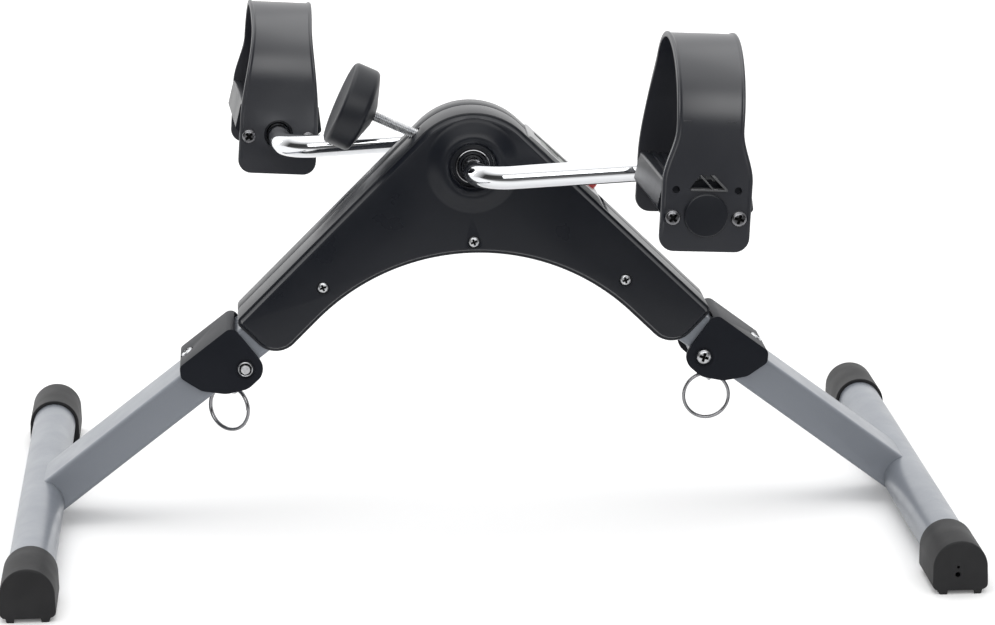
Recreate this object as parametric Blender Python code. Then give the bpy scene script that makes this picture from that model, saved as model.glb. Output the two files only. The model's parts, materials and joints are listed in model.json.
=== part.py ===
"""Folding pedal exerciser: a crank with strapped pedals on a chevron frame with two folding legs.

Lengths in this file are millimetres and angles are degrees; place() turns them into metres.
+X runs from the left foot to the right foot, +Y away from the side with the cover screws, +Z up,
and the origin lies on the floor below the middle of the object.
"""

from math import atan2, cos, degrees, hypot, pi, radians, sin, sqrt

import bmesh
import bpy
from mathutils import Matrix, Vector

METRE = 0.001
GAP = 0.3
SIDES = {"left": -1, "right": 1}

# Stance: two round foot bars, joined to the frame by sloping rectangular legs.
FOOT_X = 240.5
FOOT_HALF_LENGTH = 192.5
FOOT_TUBE_RADIUS = 12.3
FOOT_TUBE_HEIGHT = 14.0
CAP_LENGTH = 43.0
CAP_HALF_WIDTH = 14.5
CAP_RIB_HEIGHT = 2.0
TUBE_WIDTH = 40.0
TUBE_HEIGHT = 20.0
TUBE_WALL = 1.6

# Leg hinges: the leg frame runs u outwards down the leg and w out of the leg's top face.
HINGE_X = 126.4
HINGE_Z = 88.0
LEG_SLOPE = 37.2
TUBE_BOTTOM_W = -1.2
TUBE_TOP_W = TUBE_BOTTOM_W + TUBE_HEIGHT
FRAME_START_U = -45.0
FRAME_END_RADIUS = TUBE_TOP_W
LEG_START_U = 19.2
KNUCKLE_RADIUS = 6.2
BOLT_RADIUS = 3.0
HINGE_COVER_HALF_WIDTH = 23.0
HINGE_COVER_TOP_W = 23.4
HINGE_COVER_WALL = 2.6
COVER_SCREW_U = 22.6

# Lock pin, along w, with its spring, the plate that it enters and its pull ring.
PIN_U = 15.0
PIN_RADIUS = 2.2
PIN_TIP_W = 12.0
PIN_FLANGE_W = (5.4, 6.6)
PIN_EYE_W = -8.2
LOCK_PLATE_W = (8.5, 10.5)
BRIDGE_W = (-3.4, -1.6)
RING_RADIUS = 12.0
RING_WIRE_RADIUS = 1.0
RING_TURN = {"left": 34.0, "right": 0.0}
RING_LEAN = {"left": 14.0, "right": -14.0}

# Housing: a chevron with a round top over the axle and an arched underside.
HALF_DEPTH = 25.0
SHOULDER_DEPTH = 21.0
SEAM_Y = 5.3
COVER_WALL = 2.2
FACE_INSET = 2.5
ARM_SLOPE = 44.5
ARM_TOP_V = 173.4
ARM_BOTTOM_V = 141.8
ARM_END_U = 13.9
CROWN_RADIUS = 39.0
ARCH_RADIUS = 122.6
ARM_END_TOP_CORNER = 3.8
ARM_END_BOTTOM_CORNER = 13.8
SIDE_PLATE_Y = (20.4, 22.3)
SIDE_PLATE_END_U = -8.0
SIDE_PLATE_INSET = 4.5
COVER_SCREWS = {"left": (-83.0, 133.0), "middle": (0.0, 156.4), "right": (83.0, 133.0)}

# Crank: one bent rod, with the friction drum on its axle.
AXLE_Z = 198.5
ROD_RADIUS = 6.4
ROD_BEND = 20.0
CRANK_LENGTH = 102.0
ARM_PLANE_Y = 62.0
CRANK_TILT = 2.3
SPINDLE_TOE = 3.0
SPINDLE_LENGTH = 112.5
DRUM_RADIUS = 16.0
DRUM_HALF_WIDTH = 9.0
BUSH_BORE = 6.7
HUB_HOLE_RADIUS = 11.6
HUB_BOSS_RADIUS = 25.0

# Pedals: s runs out along the spindle from the crank arm, t fore and aft, h up.
PEDAL_INNER_S = 41.5
PEDAL_OUTER_S = 124.0
PEDAL_TILT = {"left": 4.2, "right": 3.4}
STRAP_THICKNESS = 2.2
STRAP_SHOULDER = 36.0
STRAP_NECK = 63.0
STRAP_WIDE = {"left": 44.8, "right": 46.5}
STRAP_NARROW = 34.6
STRAP_TOP_WIDTH = 36.2
STRAP_CORNER = 7.5
STRAP_RISE = {"right": 86.0, "left": 70.0}
STRAP_ENDS_H = {"right": (-15.0, -19.0), "left": (-23.0, -20.0)}
STRAP_SCREW_T = 17.0
STRAP_SCREW_H = -1.5
PEDAL_CAP_RADIUS = 11.2

# Tension knob: its threaded rod points at the axle; d is the distance from the axle.
KNOB_ANGLE = 25.0
KNOB_RADIUS = 23.5
KNOB_D = (58.5, 78.7)
THREAD_RADIUS = 2.9
THREAD_D = (20.9, 70.0)
SHOE_D = (DRUM_RADIUS + 0.4, 20.6)
NUT_BAR_D = (23.5, 27.5)

# Display, set into the right-hand slope; its v is measured like the arms' v.
DISPLAY_U = (-127.0, -66.0)
DISPLAY_V = (168.0, 176.2)
DISPLAY_HALF_WIDTH = 18.0
LENS_U = (-121.5, -93.0)
LENS_HALF_WIDTH = 12.5
BUTTON_U = -82.5
BUTTON_RADIUS = 5.0

MATERIALS = {
    "black_plastic": ((0.016, 0.017, 0.020), 0.42, 0.0),
    "silver_paint": ((0.35, 0.37, 0.40), 0.38, 0.55),
    "chrome": ((0.78, 0.79, 0.80), 0.08, 1.0),
    "zinc_steel": ((0.55, 0.56, 0.57), 0.32, 1.0),
    "rubber": ((0.020, 0.020, 0.022), 0.62, 0.0),
    "strap_vinyl": ((0.018, 0.020, 0.024), 0.38, 0.0),
    "lens": ((0.010, 0.012, 0.014), 0.08, 0.0),
    "red_plastic": ((0.55, 0.03, 0.03), 0.35, 0.0),
    "felt": ((0.10, 0.09, 0.08), 0.90, 0.0),
}


# ---------------------------------------------------------------- outlines and frames


def frame(origin, x_axis, y_axis, z_axis):
    """Matrix from a local frame, in millimetres, to the object's frame."""
    rows = [[*column, end] for column, end in zip(zip(x_axis, y_axis, z_axis), origin)]
    return Matrix([*rows, [0, 0, 0, 1]])


def leg_frame(side):
    """Local (u, y, w) at a leg's hinge axis."""
    c, s = cos(radians(LEG_SLOPE)), sin(radians(LEG_SLOPE))
    return frame((side * HINGE_X, 0, HINGE_Z), (side * c, 0, -s), (0, 1, 0), (side * s, 0, c))


def arm_frame(side):
    """Local (u, y, v) of a housing arm, from the object's origin."""
    c, s = cos(radians(ARM_SLOPE)), sin(radians(ARM_SLOPE))
    return frame((0, 0, 0), (side * c, 0, -s), (0, 1, 0), (side * s, 0, c))


def axle_frame(direction=1):
    """Local z along the axle, towards +Y or -Y."""
    return frame((0, 0, AXLE_Z), (1, 0, 0), (0, 0, 1), (0, direction, 0))


def knob_frame():
    """Local z along the tension rod, out from the axle."""
    c, s = cos(radians(KNOB_ANGLE)), sin(radians(KNOB_ANGLE))
    return frame((0, 0, AXLE_Z), (s, 0, c), (0, 1, 0), (-c, 0, s))


def pedal_corner(side):
    """Where the axes of a crank arm and its spindle would meet."""
    reach = CRANK_LENGTH * side
    tilt = radians(CRANK_TILT)
    return Vector((reach * cos(tilt), -side * ARM_PLANE_Y, AXLE_Z + reach * sin(tilt)))


def pedal_frame(name):
    """Local (t, h, s): s out along the spindle, h up, t to the object's right at rest."""
    side = SIDES[name]
    toe = radians(SPINDLE_TOE)
    spindle = Vector((side * sin(toe), -side * cos(toe), 0))
    up = Matrix.Rotation(radians(PEDAL_TILT[name]), 3, "Y") @ Vector((0, 0, 1))
    up = (up - spindle * up.dot(spindle)).normalized()
    across = up.cross(spindle) * side
    return frame(pedal_corner(side), across, up, spindle)


def circle(radius, count, centre=(0.0, 0.0), start=0.0):
    step = 2 * pi / count
    turns = [radians(start) + i * step for i in range(count)]
    return [(centre[0] + radius * cos(a), centre[1] + radius * sin(a)) for a in turns]


def arc(centre, radius, start, end, steps):
    turns = [radians(start + (end - start) * i / steps) for i in range(steps + 1)]
    return [(centre[0] + radius * cos(a), centre[1] + radius * sin(a)) for a in turns]


def rounded(corners, steps=5):
    """Closed outline through (x, y, radius) corners, each rounded to its radius."""
    points = []
    for i, (x, y, radius) in enumerate(corners):
        here = Vector((x, y))
        before = (Vector(corners[i - 1][:2]) - here).normalized()
        after = (Vector(corners[(i + 1) % len(corners)][:2]) - here).normalized()
        if radius == 0:
            points.append((x, y))
            continue
        half = before.angle(after) / 2
        centre = here + (before + after).normalized() * (radius / sin(half))
        first = here + before * (radius * cos(half) / sin(half)) - centre
        last = here + after * (radius * cos(half) / sin(half)) - centre
        start = degrees(atan2(first.y, first.x))
        turn = degrees(atan2(last.y, last.x)) - start
        turn = (turn + 180) % 360 - 180
        points += arc(centre, radius, start, start + turn, steps)
    return points


def rectangle(x, y, radius=0.0, steps=3):
    """Outline of a rectangle given by its ranges along x and y."""
    corners = [(x[0], y[0]), (x[1], y[0]), (x[1], y[1]), (x[0], y[1])]
    return rounded([(*corner, radius) for corner in corners], steps)


def chevron(inset=0.0, end_u=ARM_END_U):
    """The housing's outline in (x, z), moved in by inset, with its arms ending at end_u."""
    c, s = cos(radians(ARM_SLOPE)), sin(radians(ARM_SLOPE))
    crown_z = (ARM_TOP_V - CROWN_RADIUS) / c
    arch_z = (ARM_BOTTOM_V - ARCH_RADIUS) / c
    high, low, end = ARM_TOP_V - inset, ARM_BOTTOM_V + inset, end_u - inset
    tangent_u = -arch_z * s
    local = rounded(
        [
            (tangent_u - 30, high, 0),
            (end, high, max(ARM_END_TOP_CORNER - inset, 1)),
            (end, low, ARM_END_BOTTOM_CORNER - inset),
            (tangent_u - 30, low, 0),
        ],
        4,
    )[1:-1]
    right_end = [(u * c + v * s, -u * s + v * c) for u, v in local]
    crown = arc((0, crown_z), CROWN_RADIUS - inset, 90 + ARM_SLOPE, 90 - ARM_SLOPE, 12)
    arch = arc((0, arch_z), ARCH_RADIUS + inset, 90 - ARM_SLOPE, 90 + ARM_SLOPE, 14)
    left_end = [(-x, z) for x, z in reversed(right_end)]
    return crown + right_end + arch + left_end


# ---------------------------------------------------------------- meshes


def loft(loops, closed=False):
    """Solid skin through loops of equal length; its ends are capped unless it closes on itself."""
    mesh = bmesh.new()
    rings = [[mesh.verts.new(point) for point in loop] for loop in loops]
    pairs = list(zip(rings, rings[1:]))
    if closed:
        pairs.append((rings[-1], rings[0]))
    else:
        mesh.faces.new(rings[0])
        mesh.faces.new(rings[-1])
    for ring, following in pairs:
        for i, vertex in enumerate(ring):
            j = (i + 1) % len(ring)
            mesh.faces.new((vertex, ring[j], following[j], following[i]))
    return mesh


def layers(*pairs):
    """Solid along local z from (outline, z) pairs."""
    return loft([[(x, y, z) for x, y in outline] for outline, z in pairs])


def prism(outline, start, end):
    return layers((outline, start), (outline, end))


def slab(outline, y):
    """Solid from an outline in (x, z), stretched along y."""
    return loft([[(a, depth, b) for a, b in outline] for depth in y])


def box(x, y, z):
    return slab(rectangle(x, z), y)


def turned(profile, count):
    """Solid of revolution about local z from a closed (radius, z) profile that stays off the axis."""
    loops = []
    for i in range(count):
        a = 2 * pi * i / count
        loops.append([(r * cos(a), r * sin(a), z) for r, z in profile])
    return loft(loops, closed=True)


def stepped(steps, count):
    """Solid of revolution about local z from (radius, z) steps, with flat ends on the axis."""
    return layers(*[(circle(radius, count), z) for radius, z in steps])


def swept(path, radius, count, closed=False):
    """Round bar along a path of points, without twist."""
    points = [Vector(point) for point in path]
    total = len(points)
    loops, side = [], None
    for i, point in enumerate(points):
        before = points[i - 1] if i or closed else point
        after = points[(i + 1) % total] if i + 1 < total or closed else point
        along = (after - before).normalized()
        if side is None:
            side = along.orthogonal()
        side = (side - along * side.dot(along)).normalized()
        other = along.cross(side)
        loops.append([point + side * x + other * y for x, y in circle(radius, count)])
    return loft(loops, closed)


def bent_path(corners, radius, steps):
    """Points along straight runs between corners, with each inner corner bent to a radius."""
    points = [Vector(corners[0])]
    for before, here, after in zip(corners, corners[1:], corners[2:]):
        here = Vector(here)
        back, on = (Vector(before) - here).normalized(), (Vector(after) - here).normalized()
        half = back.angle(on) / 2
        centre = here + (back + on).normalized() * (radius / sin(half))
        first = here + back * (radius * cos(half) / sin(half)) - centre
        axis = back.cross(on)
        turn = -(pi - 2 * half)
        for i in range(steps + 1):
            points.append(centre + Matrix.Rotation(turn * i / steps, 3, axis) @ first)
    points.append(Vector(corners[-1]))
    return points


# ---------------------------------------------------------------- objects


def clear_scene():
    for obj in list(bpy.data.objects):
        bpy.data.objects.remove(obj, do_unlink=True)


def make_material(name):
    colour, roughness, metallic = MATERIALS[name]
    material = bpy.data.materials.new(name)
    material.use_nodes = True
    shader = material.node_tree.nodes["Principled BSDF"]
    shader.inputs["Base Color"].default_value = (*colour, 1.0)
    shader.inputs["Roughness"].default_value = roughness
    shader.inputs["Metallic"].default_value = metallic
    material.diffuse_color = (*colour, 1.0)
    return material


def make_body(name, origin, parent=None):
    """An empty on a joint's axis, which the joint's pieces hang from."""
    body = bpy.data.objects.new(name, None)
    bpy.context.collection.objects.link(body)
    body.empty_display_size = 0.02
    place = Vector(origin) * METRE
    if parent:
        body.parent = parent
        place -= parent.matrix_world.translation
    body.location = place
    bpy.context.view_layer.update()
    return body


def link_mesh(name, mesh, local, body):
    """An object of this mesh, built in the local frame and hung from the body."""
    to_metres = Matrix.Scale(METRE, 4)
    shift = Matrix.Translation(-body.matrix_world.translation)
    mesh.transform(shift @ to_metres @ local)
    bmesh.ops.recalc_face_normals(mesh, faces=mesh.faces)
    data = bpy.data.meshes.new(name)
    mesh.to_mesh(data)
    mesh.free()
    data.shade_smooth()
    data.set_sharp_from_angle(angle=radians(35))
    obj = bpy.data.objects.new(name, data)
    bpy.context.collection.objects.link(obj)
    obj.parent = body
    return obj


def place(name, mesh, material, body, local=Matrix.Identity(4)):
    obj = link_mesh(name, mesh, local, body)
    obj.data.materials.append(material)
    return obj


def combine(obj, mesh, operation, local=Matrix.Identity(4)):
    """Cuts this mesh out of the object, or joins it on."""
    helper = link_mesh(obj.name + "_helper", mesh, local, obj.parent)
    helper.hide_render = True
    helper.display_type = "WIRE"
    modifier = obj.modifiers.new(operation.lower(), "BOOLEAN")
    modifier.operation = operation
    modifier.object = helper


def cut(obj, mesh, local=Matrix.Identity(4)):
    combine(obj, mesh, "DIFFERENCE", local)


def join(obj, mesh, local=Matrix.Identity(4)):
    combine(obj, mesh, "UNION", local)


def along_y(x, z):
    """Frame at (x, z) whose local z runs along +Y."""
    return frame((x, 0, z), (1, 0, 0), (0, 0, -1), (0, 1, 0))


# ---------------------------------------------------------------- housing and frame


def cover_shell(facing):
    """One cover: facing is -1 for the front shell and 1 for the rear one."""
    seam = SEAM_Y + facing * GAP / 2
    inner_shoulder = facing * (SHOULDER_DEPTH - 0.5)
    inner_face = facing * (HALF_DEPTH - COVER_WALL)
    stack = [
        (FACE_INSET, facing * HALF_DEPTH),
        (0.0, facing * SHOULDER_DEPTH),
        (0.0, seam),
        (COVER_WALL, seam),
        (COVER_WALL, inner_shoulder),
        (COVER_WALL + 1.8, inner_face),
    ]
    return loft([[(x, y, z) for x, z in chevron(inset)] for inset, y in stack])


def hub_boss():
    """Domed ring round the axle, on a cover's face; z runs out of the face from the middle."""
    steps = [
        (HUB_BOSS_RADIUS, 23.6),
        (HUB_BOSS_RADIUS, 25.6),
        (22.2, 28.4),
        (18.5, 29.5),
        (14.4, 28.8),
    ]
    return stepped(steps, 28)


def make_cover(name, facing, body, material):
    cover = place(name, cover_shell(facing), material, body)
    join(cover, hub_boss(), axle_frame(facing))
    cut(cover, prism(circle(HUB_HOLE_RADIUS, 24), 15, 40), axle_frame(facing))
    for side in SIDES.values():
        height = (TUBE_BOTTOM_W - 0.5, TUBE_TOP_W + 0.5)
        half = TUBE_WIDTH / 2 + 0.4
        cut(cover, box((-30, 30), (-half, half), height), leg_frame(side))
    cut(cover, prism(circle(THREAD_RADIUS + 1.4, 14), 26, 44), knob_frame())
    margin = DISPLAY_HALF_WIDTH + GAP
    notch_u = (DISPLAY_U[0] - GAP, DISPLAY_U[1] + GAP)
    cut(cover, box(notch_u, (-margin, margin), (DISPLAY_V[0] - 1, 182)), arm_frame(1))
    for x, z in COVER_SCREWS.values():
        here = along_y(x, z)
        if facing < 0:
            cut(cover, prism(circle(4.0, 16), -30, -HALF_DEPTH + 1.1), here)
            cut(cover, prism(circle(1.8, 10), -30, -15), here)
        else:
            join(cover, prism(circle(3.9, 14), 6.4, HALF_DEPTH - 1.2), here)
            cut(cover, prism(circle(1.8, 10), 5.0, 16.0), here)
    return cover


def make_side_plate(name, facing, body, material):
    outline = chevron(SIDE_PLATE_INSET, SIDE_PLATE_END_U)
    plate = place(name, slab(outline, [facing * y for y in SIDE_PLATE_Y]), material, body)
    cut(plate, prism(circle(9.0, 20), 15, 30), axle_frame(facing))
    for x, z in COVER_SCREWS.values():
        cut(plate, prism(circle(4.6, 12), 15 * facing, 30 * facing), along_y(x, z))
    return plate


def frame_end_keep():
    """Everything in the leg frame that a frame tube may fill: inboard, or within its end's sweep."""
    edge = arc((0, 0), FRAME_END_RADIUS, -20, 90, 10)
    return [(FRAME_START_U - 5, -12), (0, -12), *edge, (FRAME_START_U - 5, TUBE_TOP_W + 5)]


def tube_section(wall):
    half = TUBE_WIDTH / 2 - wall
    height = (TUBE_BOTTOM_W + wall, TUBE_TOP_W - wall)
    return rectangle((-half, half), height, 2.6 - wall)


def along_u(outline, u):
    """Solid from a (y, w) outline, stretched along u."""
    return loft([[(x, a, b) for a, b in outline] for x in u])


def make_frame_tube(name, side, body, material):
    """Rectangular tube, welded to the side plates, with the hinge knuckle and the lock plate."""
    local = leg_frame(side)
    tube = place(name, along_u(tube_section(0), (FRAME_START_U, 24)), material, body, local)
    cut(tube, along_u(tube_section(TUBE_WALL), (FRAME_START_U - 5, 30)), local)
    half = TUBE_WIDTH / 2
    join(tube, slab(circle(KNUCKLE_RADIUS, 18), (-half, half)), local)
    cut(tube, slab(circle(BOLT_RADIUS + 0.25, 16), (-half - 5, half + 5)), local)
    inner = half - TUBE_WALL
    cut(tube, box((KNUCKLE_RADIUS + 1, 30), (-inner, inner), (-5, 3)), local)
    join(tube, box((8, 30), (-inner - 0.6, inner + 0.6), LOCK_PLATE_W), local)
    slot = PIN_RADIUS + 0.4
    cut(tube, box((PIN_U - slot, 30), (-slot, slot), (LOCK_PLATE_W[0] - 1, LOCK_PLATE_W[1] + 1)), local)
    keep = slab(frame_end_keep(), (-half - 3, half + 3))
    combine(tube, keep, "INTERSECT", local)
    return tube


def make_hub(body, materials):
    """Bushes and chromed rings that carry the axle in the side plates."""
    for name, facing in (("front", -1), ("rear", 1)):
        bush = turned(
            [(BUSH_BORE, 15.5), (10.5, 15.5), (10.5, 20.1), (8.7, 20.1), (8.7, 23.9), (BUSH_BORE, 23.9)],
            24,
        )
        place(name + "_axle_bush", bush, materials["black_plastic"], body, axle_frame(facing))
        ring = turned([(7.0, 24.2), (9.4, 24.2), (9.4, 25.2), (8.9, 25.7), (7.0, 25.7)], 24)
        place(name + "_axle_ring", ring, materials["chrome"], body, axle_frame(facing))


def pan_head(radius, height, shank_radius, shank_length, count=12):
    """Pan-headed screw along local z: the head stands above z = 0 and the shank runs below."""
    return stepped(
        [
            (shank_radius, -shank_length),
            (shank_radius, 0),
            (radius, 0),
            (radius, height * 0.4),
            (radius * 0.6, height),
        ],
        count,
    )


def make_display(body, materials):
    """Display case, its window and the button, on the right-hand slope."""
    local = arm_frame(1)
    half = DISPLAY_HALF_WIDTH
    low, high = DISPLAY_V
    outline = rounded(
        [
            (DISPLAY_U[0], low, 0),
            (DISPLAY_U[1], low, 0),
            (DISPLAY_U[1], low + 4.2, 0.8),
            (DISPLAY_U[1] - 10, high, 2.5),
            (DISPLAY_U[0], high, 1.5),
        ],
        3,
    )
    case = place("display_case", slab(outline, (-half, half)), materials["black_plastic"], body, local)
    pocket_u = (LENS_U[0] - GAP, LENS_U[1] + GAP)
    pocket = LENS_HALF_WIDTH + GAP
    cut(case, box(pocket_u, (-pocket, pocket), (high - 1.3, high + 5)), local)
    lens = box(LENS_U, (-LENS_HALF_WIDTH, LENS_HALF_WIDTH), (high - 1.0, high - 0.1))
    place("display_lens", lens, materials["lens"], body, local)
    hole = local @ frame((BUTTON_U, 0, 0), (1, 0, 0), (0, 1, 0), (0, 0, 1))
    cut(case, prism(circle(BUTTON_RADIUS + 0.35, 18), low + 1.5, high + 5), hole)
    button_body = make_body("mode_button_joint", hole @ Vector((0, 0, high)), body)
    steps = [
        (BUTTON_RADIUS, low + 3.2),
        (BUTTON_RADIUS, high + 1.2),
        (BUTTON_RADIUS - 0.7, high + 2.1),
        (BUTTON_RADIUS - 2.2, high + 2.6),
    ]
    place("mode_button", stepped(steps, 18), materials["red_plastic"], button_body, hole)


def make_housing(body, materials):
    plastic = materials["black_plastic"]
    make_cover("front_cover", -1, body, plastic)
    make_cover("rear_cover", 1, body, plastic)
    make_side_plate("front_side_plate", -1, body, materials["zinc_steel"])
    make_side_plate("rear_side_plate", 1, body, materials["zinc_steel"])
    for name, side in SIDES.items():
        make_frame_tube(name + "_frame_tube", side, body, materials["silver_paint"])
    for name, (x, z) in COVER_SCREWS.items():
        out = along_y(x, z) @ frame((0, 0, -HALF_DEPTH + 0.8), (1, 0, 0), (0, -1, 0), (0, 0, -1))
        screw = pan_head(3.0, 1.9, 1.4, 38)
        place("cover_screw_" + name, screw, materials["zinc_steel"], body, out)
    make_hub(body, materials)
    bar = slab(rectangle((-6, 6), NUT_BAR_D, 1.0), (-20.1, 20.1))
    bar = place("tension_nut", bar, materials["zinc_steel"], body, knob_frame())
    cut(bar, prism(circle(THREAD_RADIUS + 0.3, 14), 20, 32), knob_frame())
    sensor = box((-4.5, 4.5), (12.2, 20.1), (-19.5, -12.0))
    at_axle = frame((0, 0, AXLE_Z), (1, 0, 0), (0, 1, 0), (0, 0, 1))
    place("speed_sensor", sensor, plastic, body, at_axle)
    make_display(body, materials)


# ---------------------------------------------------------------- tension knob and brake


def make_tension(body, materials):
    local = knob_frame()
    shoe_body = make_body("brake_shoe_joint", local @ Vector((0, 0, SHOE_D[0])), body)
    shoe = slab(rectangle((-8, 8), (10, SHOE_D[1]), 1.0), (-8, 8))
    shoe = place("brake_shoe", shoe, materials["felt"], shoe_body, local)
    cut(shoe, prism(circle(SHOE_D[0], 48), -20, 20), axle_frame())
    knob_body = make_body("tension_knob_joint", local @ Vector((0, 0, KNOB_D[0])), shoe_body)
    rod = prism(circle(THREAD_RADIUS, 14), *THREAD_D)
    place("tension_rod", rod, materials["zinc_steel"], knob_body, local)
    low, high = KNOB_D
    profile = [
        (THREAD_RADIUS + GAP, low),
        (9.5, low),
        (KNOB_RADIUS - 2.6, low + 4.6),
        (KNOB_RADIUS, low + 8.5),
        (KNOB_RADIUS - 0.3, high - 3.0),
        (KNOB_RADIUS - 3.0, high),
        (THREAD_RADIUS + GAP, high),
    ]
    knob = place("tension_knob", turned(profile, 28), materials["black_plastic"], knob_body, local)
    join(knob, prism(circle(6.0, 14), THREAD_D[1] + GAP, high - 0.6), local)


# ---------------------------------------------------------------- crank and pedals


def make_crank(body, materials):
    right_end, left_end = (pedal_frame(name) @ Vector((0, 0, SPINDLE_LENGTH)) for name in ("right", "left"))
    corners = [right_end, pedal_corner(1), (0, -ARM_PLANE_Y, AXLE_Z), (0, ARM_PLANE_Y, AXLE_Z)]
    corners += [pedal_corner(-1), left_end]
    rod = swept(bent_path(corners, ROD_BEND, 6), ROD_RADIUS, 16)
    place("crank_rod", rod, materials["chrome"], body)
    half = DRUM_HALF_WIDTH
    drum = [(ROD_RADIUS + GAP, -half), (DRUM_RADIUS, -half), (DRUM_RADIUS, half), (ROD_RADIUS + GAP, half)]
    place("friction_drum", turned(drum, 32), materials["zinc_steel"], body, axle_frame())
    at_rim = axle_frame() @ frame((13.0, 0, 0), (1, 0, 0), (0, 1, 0), (0, 0, 1))
    magnet = prism(circle(1.9, 10), half + GAP, half + 2.2)
    place("speed_magnet", magnet, materials["zinc_steel"], body, at_rim)


def strap_width(length, half_length, wide):
    """Width of the strap at a length up from the foot of its plate, which is this wide."""
    if length < STRAP_CORNER:
        return wide - 2 * (STRAP_CORNER - sqrt(STRAP_CORNER**2 - (STRAP_CORNER - length) ** 2))
    if length > STRAP_NECK:
        spread = (length - STRAP_NECK) / (half_length - STRAP_NECK)
        return STRAP_NARROW + (STRAP_TOP_WIDTH - STRAP_NARROW) * spread
    ease = max((length - STRAP_SHOULDER) / (STRAP_NECK - STRAP_SHOULDER), 0)
    return wide + (STRAP_NARROW - wide) * ease * ease * (3 - 2 * ease)


def half_strap(rise, foot_h, wide):
    """(s, h, width, turn) from the inner plate's foot to the top of the strap."""
    half_span = (PEDAL_OUTER_S - PEDAL_INNER_S - STRAP_THICKNESS) / 2
    middle = (PEDAL_OUTER_S + PEDAL_INNER_S) / 2
    spring_h = rise - half_span - STRAP_THICKNESS / 2
    straight = spring_h - foot_h
    plate = [0.0, 0.8, 3.0, STRAP_CORNER, STRAP_SHOULDER, 43, 50, 57, STRAP_NECK]
    bend = [straight + half_span * pi * i / 14 for i in range(8)]
    stations = []
    for length in sorted({length for length in plate if length < straight} | set(bend)):
        turn = max(length - straight, 0) / half_span
        s = middle - half_span * cos(turn)
        h = min(foot_h + length, spring_h + half_span * sin(turn))
        stations.append((s, h, strap_width(length, bend[-1], wide), turn))
    return stations


def strap_stations(name):
    """Stations over the whole strap, from its inner foot over to its outer one."""
    middle = (PEDAL_OUTER_S + PEDAL_INNER_S) / 2
    halves = [half_strap(STRAP_RISE[name], foot_h, STRAP_WIDE[name]) for foot_h in STRAP_ENDS_H[name]]
    inner, outer = halves
    return inner + [(2 * middle - s, h, width, pi - turn) for s, h, width, turn in outer[-2::-1]]


def strap_mesh(name):
    half_thickness = STRAP_THICKNESS / 2
    loops = []
    for s, h, width, turn in strap_stations(name):
        out_s, out_h = -cos(turn) * half_thickness, sin(turn) * half_thickness
        half = width / 2
        loops.append(
            [
                (-half, h + out_h, s + out_s),
                (half, h + out_h, s + out_s),
                (half, h - out_h, s - out_s),
                (-half, h - out_h, s - out_s),
            ]
        )
    return loft(loops)


def pedal_outline():
    half = [(22.3, 17, 1.5), (24.8, 2.5, 2.0), (15.0, -8.0, 5.0), (11.0, -15.0, 4.0)]
    mirrored = [(-t, h, radius) for t, h, radius in reversed(half)]
    return rounded(half + mirrored, 3)


def make_pedal(name, body, materials):
    local = pedal_frame(name)
    inner_face = PEDAL_INNER_S + STRAP_THICKNESS + GAP
    outer_face = PEDAL_OUTER_S - STRAP_THICKNESS - GAP
    block = prism(pedal_outline(), inner_face, outer_face)
    block = place(name + "_pedal_body", block, materials["black_plastic"], body, local)
    bore = ROD_RADIUS + 0.4
    plug = 8.0
    cut(block, prism(circle(bore, 20), 30, 130), local)
    cut(block, prism(circle(plug + GAP, 20), SPINDLE_LENGTH + 0.5, 130), local)
    strap = strap_mesh(name)
    strap = place(name + "_pedal_strap", strap, materials["strap_vinyl"], body, local)
    cut(strap, prism(circle(plug + GAP, 20), 30, 130), local)
    steps = [
        (plug, SPINDLE_LENGTH + 1),
        (plug, PEDAL_OUTER_S + GAP),
        (PEDAL_CAP_RADIUS, PEDAL_OUTER_S + GAP),
        (PEDAL_CAP_RADIUS, PEDAL_OUTER_S + 1.1),
        (PEDAL_CAP_RADIUS - 0.8, PEDAL_OUTER_S + 1.8),
    ]
    place(name + "_pedal_cap", stepped(steps, 24), materials["black_plastic"], body, local)
    for face, direction, s in (("inner", -1, PEDAL_INNER_S), ("outer", 1, PEDAL_OUTER_S)):
        for index, t in enumerate((-STRAP_SCREW_T, STRAP_SCREW_T), 1):
            seat = (t, STRAP_SCREW_H, s + direction * GAP)
            out = frame(seat, (1, 0, 0), (0, direction, 0), (0, 0, direction))
            screw = pan_head(4.0, 2.2, 1.6, 12)
            label = f"{name}_{face}_strap_screw_{index}"
            place(label, screw, materials["zinc_steel"], body, local @ out)
            hole = prism(circle(1.95, 10), -13.5, 5)
            cut(block, hole, local @ out)
            cut(strap, prism(circle(1.95, 10), -6, 5), local @ out)
            window = frame((t * 0.94, 12.8, s), (1, 0, 0), (0, 1, 0), (0, 0, 1))
            cut(strap, prism(circle(1.7, 8), -6, 6), local @ window)


# ---------------------------------------------------------------- legs


def hinge_plate_outline():
    """(u, w) outline: flat along the top, with a slanted tail and a round lobe about the hinge."""
    return rounded(
        [
            (-9.3, HINGE_COVER_TOP_W, 4.5),
            (27.4, HINGE_COVER_TOP_W, 3.0),
            (31.0, 18.0, 3.0),
            (21.8, 0.0, 10.0),
            (4.5, -9.8, 8.0),
            (-9.2, -8.2, 7.6),
        ],
        3,
    )


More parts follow.
